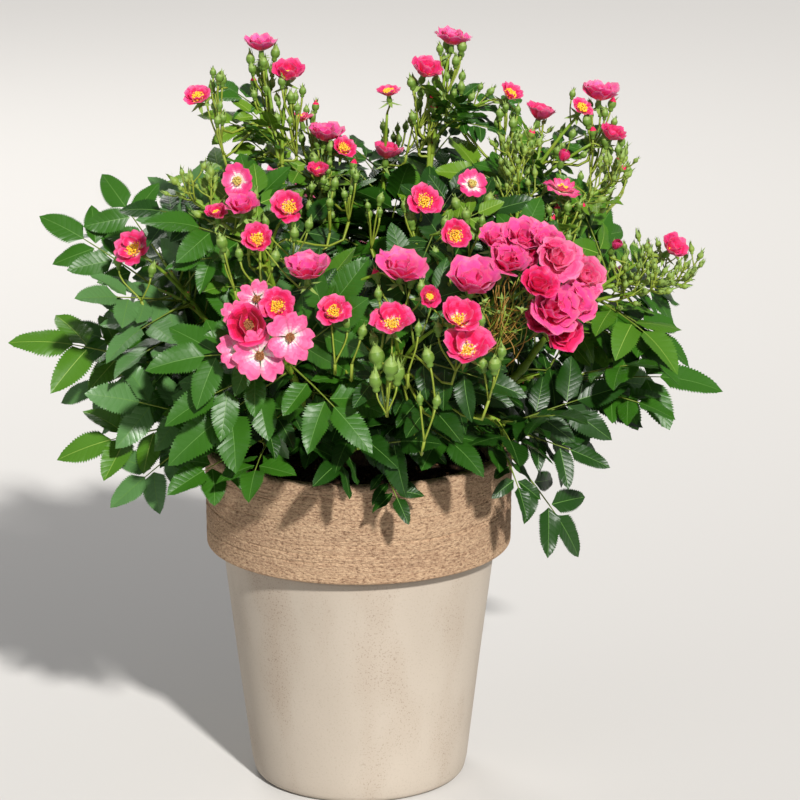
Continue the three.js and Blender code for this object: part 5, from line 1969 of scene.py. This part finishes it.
def compost_piece():
    random = np.random.default_rng(SEED + 2)
    rings, sides = 46, 150
    edge = float(inner_radius(SOIL_EDGE)) - SOIL_SLACK
    radii = np.linspace(0.2 * MM, edge, rings)
    angle = np.arange(sides) * 2 * math.pi / sides
    phases = random.uniform(0, 6, (14, 3))
    x = radii[:, None] * np.cos(angle)[None]
    y = radii[:, None] * np.sin(angle)[None]
    z = np.repeat(soil_height(radii, edge)[:, None], sides, axis=1)
    for i, (a, b, c) in enumerate(phases):
        pitch = (90 + 45 * i) / (1 + 0.02 * i)
        size = SOIL_WAVE * MM / (1 + 0.4 * i)
        z += size * np.sin(pitch * (x * math.cos(a) + y * math.sin(a)) + b) * np.sin(
            pitch * 0.8 * (y * math.cos(a) - x * math.sin(a)) + c)
    z += random.normal(0, 0.5 * MM, z.shape)
    points = np.stack([x, y, z], axis=2).reshape(-1, 3)
    heap = Heap()
    heap.add(points, grid(rings, sides, closed=True)[:, ::-1], 0)
    floor = POT_FLOOR + SOIL_SLACK
    below = [(0, floor), (float(inner_radius(floor)) - SOIL_SLACK, floor),
             (float(inner_radius(NECK_HEIGHT)) - SOIL_SLACK, NECK_HEIGHT),
             (edge, SOIL_EDGE - 2 * MM)]
    skirt, triangles = lathe(below, sides)
    heap.add(skirt, triangles, 0)
    for _ in range(CRUMBS):
        radius = edge * math.sqrt(random.random()) * 0.97
        turn = random.uniform(0, 2 * math.pi)
        size = random.uniform(*CRUMB_SIZES) * MM
        top = soil_height(radius, edge)
        centre = [radius * math.cos(turn), radius * math.sin(turn), top + size * 0.4]
        blob = CRUMB * size * random.uniform(0.6, 1.1, (6, 1)) * [1, 0.8, 0.6]
        spin = upright(unit(random.normal(size=3)), random.uniform(0, 6))
        heap.add(blob @ spin.T + centre, OCTAHEDRON_FACES, int(random.integers(0, 2)))
    piece = heap.build("compost", compost_materials(), "compost")
    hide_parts("soil")


def compost_materials():
    made = []
    for name, shades in (("compost_dark", ((30, 21, 15), (56, 40, 28), (84, 62, 44))),
                         ("compost_bark", ((58, 38, 24), (92, 64, 40), (124, 94, 62)))):
        nodes = Nodes(name)
        grain = nodes.noise(160.0, 5.0, 0.7)
        tint = nodes.ramp(grain, *zip((0.35, 0.52, 0.7), shades))
        normal = nodes.bump(grain, 2.0 * MM, 1.0)
        made.append(nodes.finish(tint, 0.95, normal, Specular_IOR_Level=0.2))
    return made


# Stem

def stock_piece():
    """The knotted stock, with fissured bark and swellings where the canes leave it."""
    rows, sides = 44, 40
    shares = np.linspace(0, 1, rows)
    radii = np.interp(shares, STEM_SHARES, STEM_RADII)
    angle = np.arange(sides) * 2 * math.pi / sides
    height = shares * STEM_HEIGHT
    spoke = radii[:, None] * (1 + 0.1 * np.cos(3 * angle[None] + height[:, None] / STEM_RADIUS))
    spoke *= 1 + 0.05 * np.sin(9 * angle[None] + 5 * shares[:, None])
    spoke *= 1 + 0.04 * np.sin(14 * angle[None] - 9 * np.sin(11 * shares[:, None]))
    lean = STEM_LEAN * shares
    points = np.stack([lean[:, None] + spoke * np.cos(angle)[None], spoke * np.sin(angle)[None],
                       np.repeat((STEM_FOOT + height)[:, None], sides, 1)], axis=2)
    points = points.reshape(-1, 3)
    top = np.array([[STEM_LEAN, 0, STEM_FOOT + STEM_HEIGHT + 0.5 * MM]])
    foot = np.array([[0, 0, STEM_FOOT]])
    triangles = grid(rows, sides, closed=True)
    around = np.arange(sides)
    after = (around + 1) % sides
    last = (rows - 1) * sides
    caps = np.concatenate([
        np.stack([last + around, last + after, np.full(sides, len(points))], 1),
        np.stack([after, around, np.full(sides, len(points) + 1)], 1)])
    heap = Heap()
    heap.add(np.concatenate([points, top, foot]), np.concatenate([triangles, caps]), 0)
    nodes = Nodes("stock_bark")
    fissure = nodes.noise(120.0, 6.0, 0.7, nodes.place((1, 1, 0.35)), 0.6)
    tint = nodes.ramp(fissure, (0.3, (56, 40, 28)), (0.5, (98, 76, 54)), (0.7, (140, 118, 90)))
    nodes.finish(tint, 0.88, nodes.bump(fissure, 2.0 * MM, 1.0))
    piece = heap.build("stock", [nodes.material], "stem")
    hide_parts("stem")


# Stage, camera and light

# The floor is a little below the pot, so that their faces don't flicker
FLOOR_DROP = 0.5 * MM


def stage():
    bpy.ops.mesh.primitive_circle_add(vertices=96, radius=30, fill_type="NGON")
    floor = bpy.context.object
    floor.name = "floor"
    floor.location.z = -FLOOR_DROP
    nodes = Nodes("floor")
    nodes.finish(linear(206, 204, 201), 0.9, Specular_IOR_Level=0.1)
    floor.data.materials.append(nodes.material)
    floor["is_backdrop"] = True


def camera():
    data = bpy.data.cameras.new("camera")
    data.lens = LENS
    made = bpy.data.objects.new("camera", data)
    bpy.context.scene.collection.objects.link(made)
    made.location = CAMERA_PLACE
    made.rotation_euler = Vector(CAMERA_TARGET - CAMERA_PLACE).to_track_quat("-Z", "Y").to_euler()
    bpy.context.scene.camera = made


def lamp(name, kind, place, power, tint, **settings):
    """A lamp that points at the crown."""
    data = bpy.data.lights.new(name, kind)
    data.energy = power
    data.color = tint
    for setting, value in settings.items():
        setattr(data, setting, value)
    made = bpy.data.objects.new(name, data)
    bpy.context.scene.collection.objects.link(made)
    made.location = place
    made.rotation_euler = (LAMP_TARGET - Vector(place)).to_track_quat("-Z", "Y").to_euler()


def light():
    lamp("key", "SUN", (1.9, -5.2, 4.4), 4.6, (1.0, 0.98, 0.95), angle=math.radians(3.5))
    lamp("fill", "AREA", (-3.2, -2.6, 1.8), 14, (0.92, 0.96, 1.0), size=2.2)
    lamp("rim", "AREA", (-1.2, 3.4, 3.0), 60, (1.0, 0.98, 0.95), size=1.6)
    world = bpy.data.worlds.new("studio")
    world.use_nodes = True
    sky = world.node_tree.nodes["Background"]
    sky.inputs["Color"].default_value = (0.95, 0.96, 1.0, 1)
    sky.inputs["Strength"].default_value = 0.26
    bpy.context.scene.world = world
    bpy.context.scene.view_settings.view_transform = "Standard"
    bpy.context.scene.view_settings.look = "None"


camera()
light()
stage()
pot_piece()
compost_piece()
stock_piece()
leaf_heaps = grow_plant()
leaf_set = leaf_materials()
for piece_name, members in LEAF_PIECES.items():
    leaves = leaf_heaps[piece_name].build(piece_name, leaf_set, "foliage")
    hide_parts(*("foliage_" + member for member in members))
cane_set = cane_materials()
cane_piece = canes.build("canes", cane_set, "cane")
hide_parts(*("bough_" + mass["name"] for mass in MASSES))
twigs.build("twigs", cane_set, "cane")
petal_set = [petal_material("petal_" + name, tint) for name, tint in PETAL_TINTS.items()]
green_set = [green_material("green_" + name, tint) for name, tint in GREEN_TINTS.items()]
for side, left in (("left", True), ("right", False)):
    petals.half(left).build("blossom_" + side, petal_set, "blossom")
    greens.half(left).build("buds_" + side, green_set, "foliage")
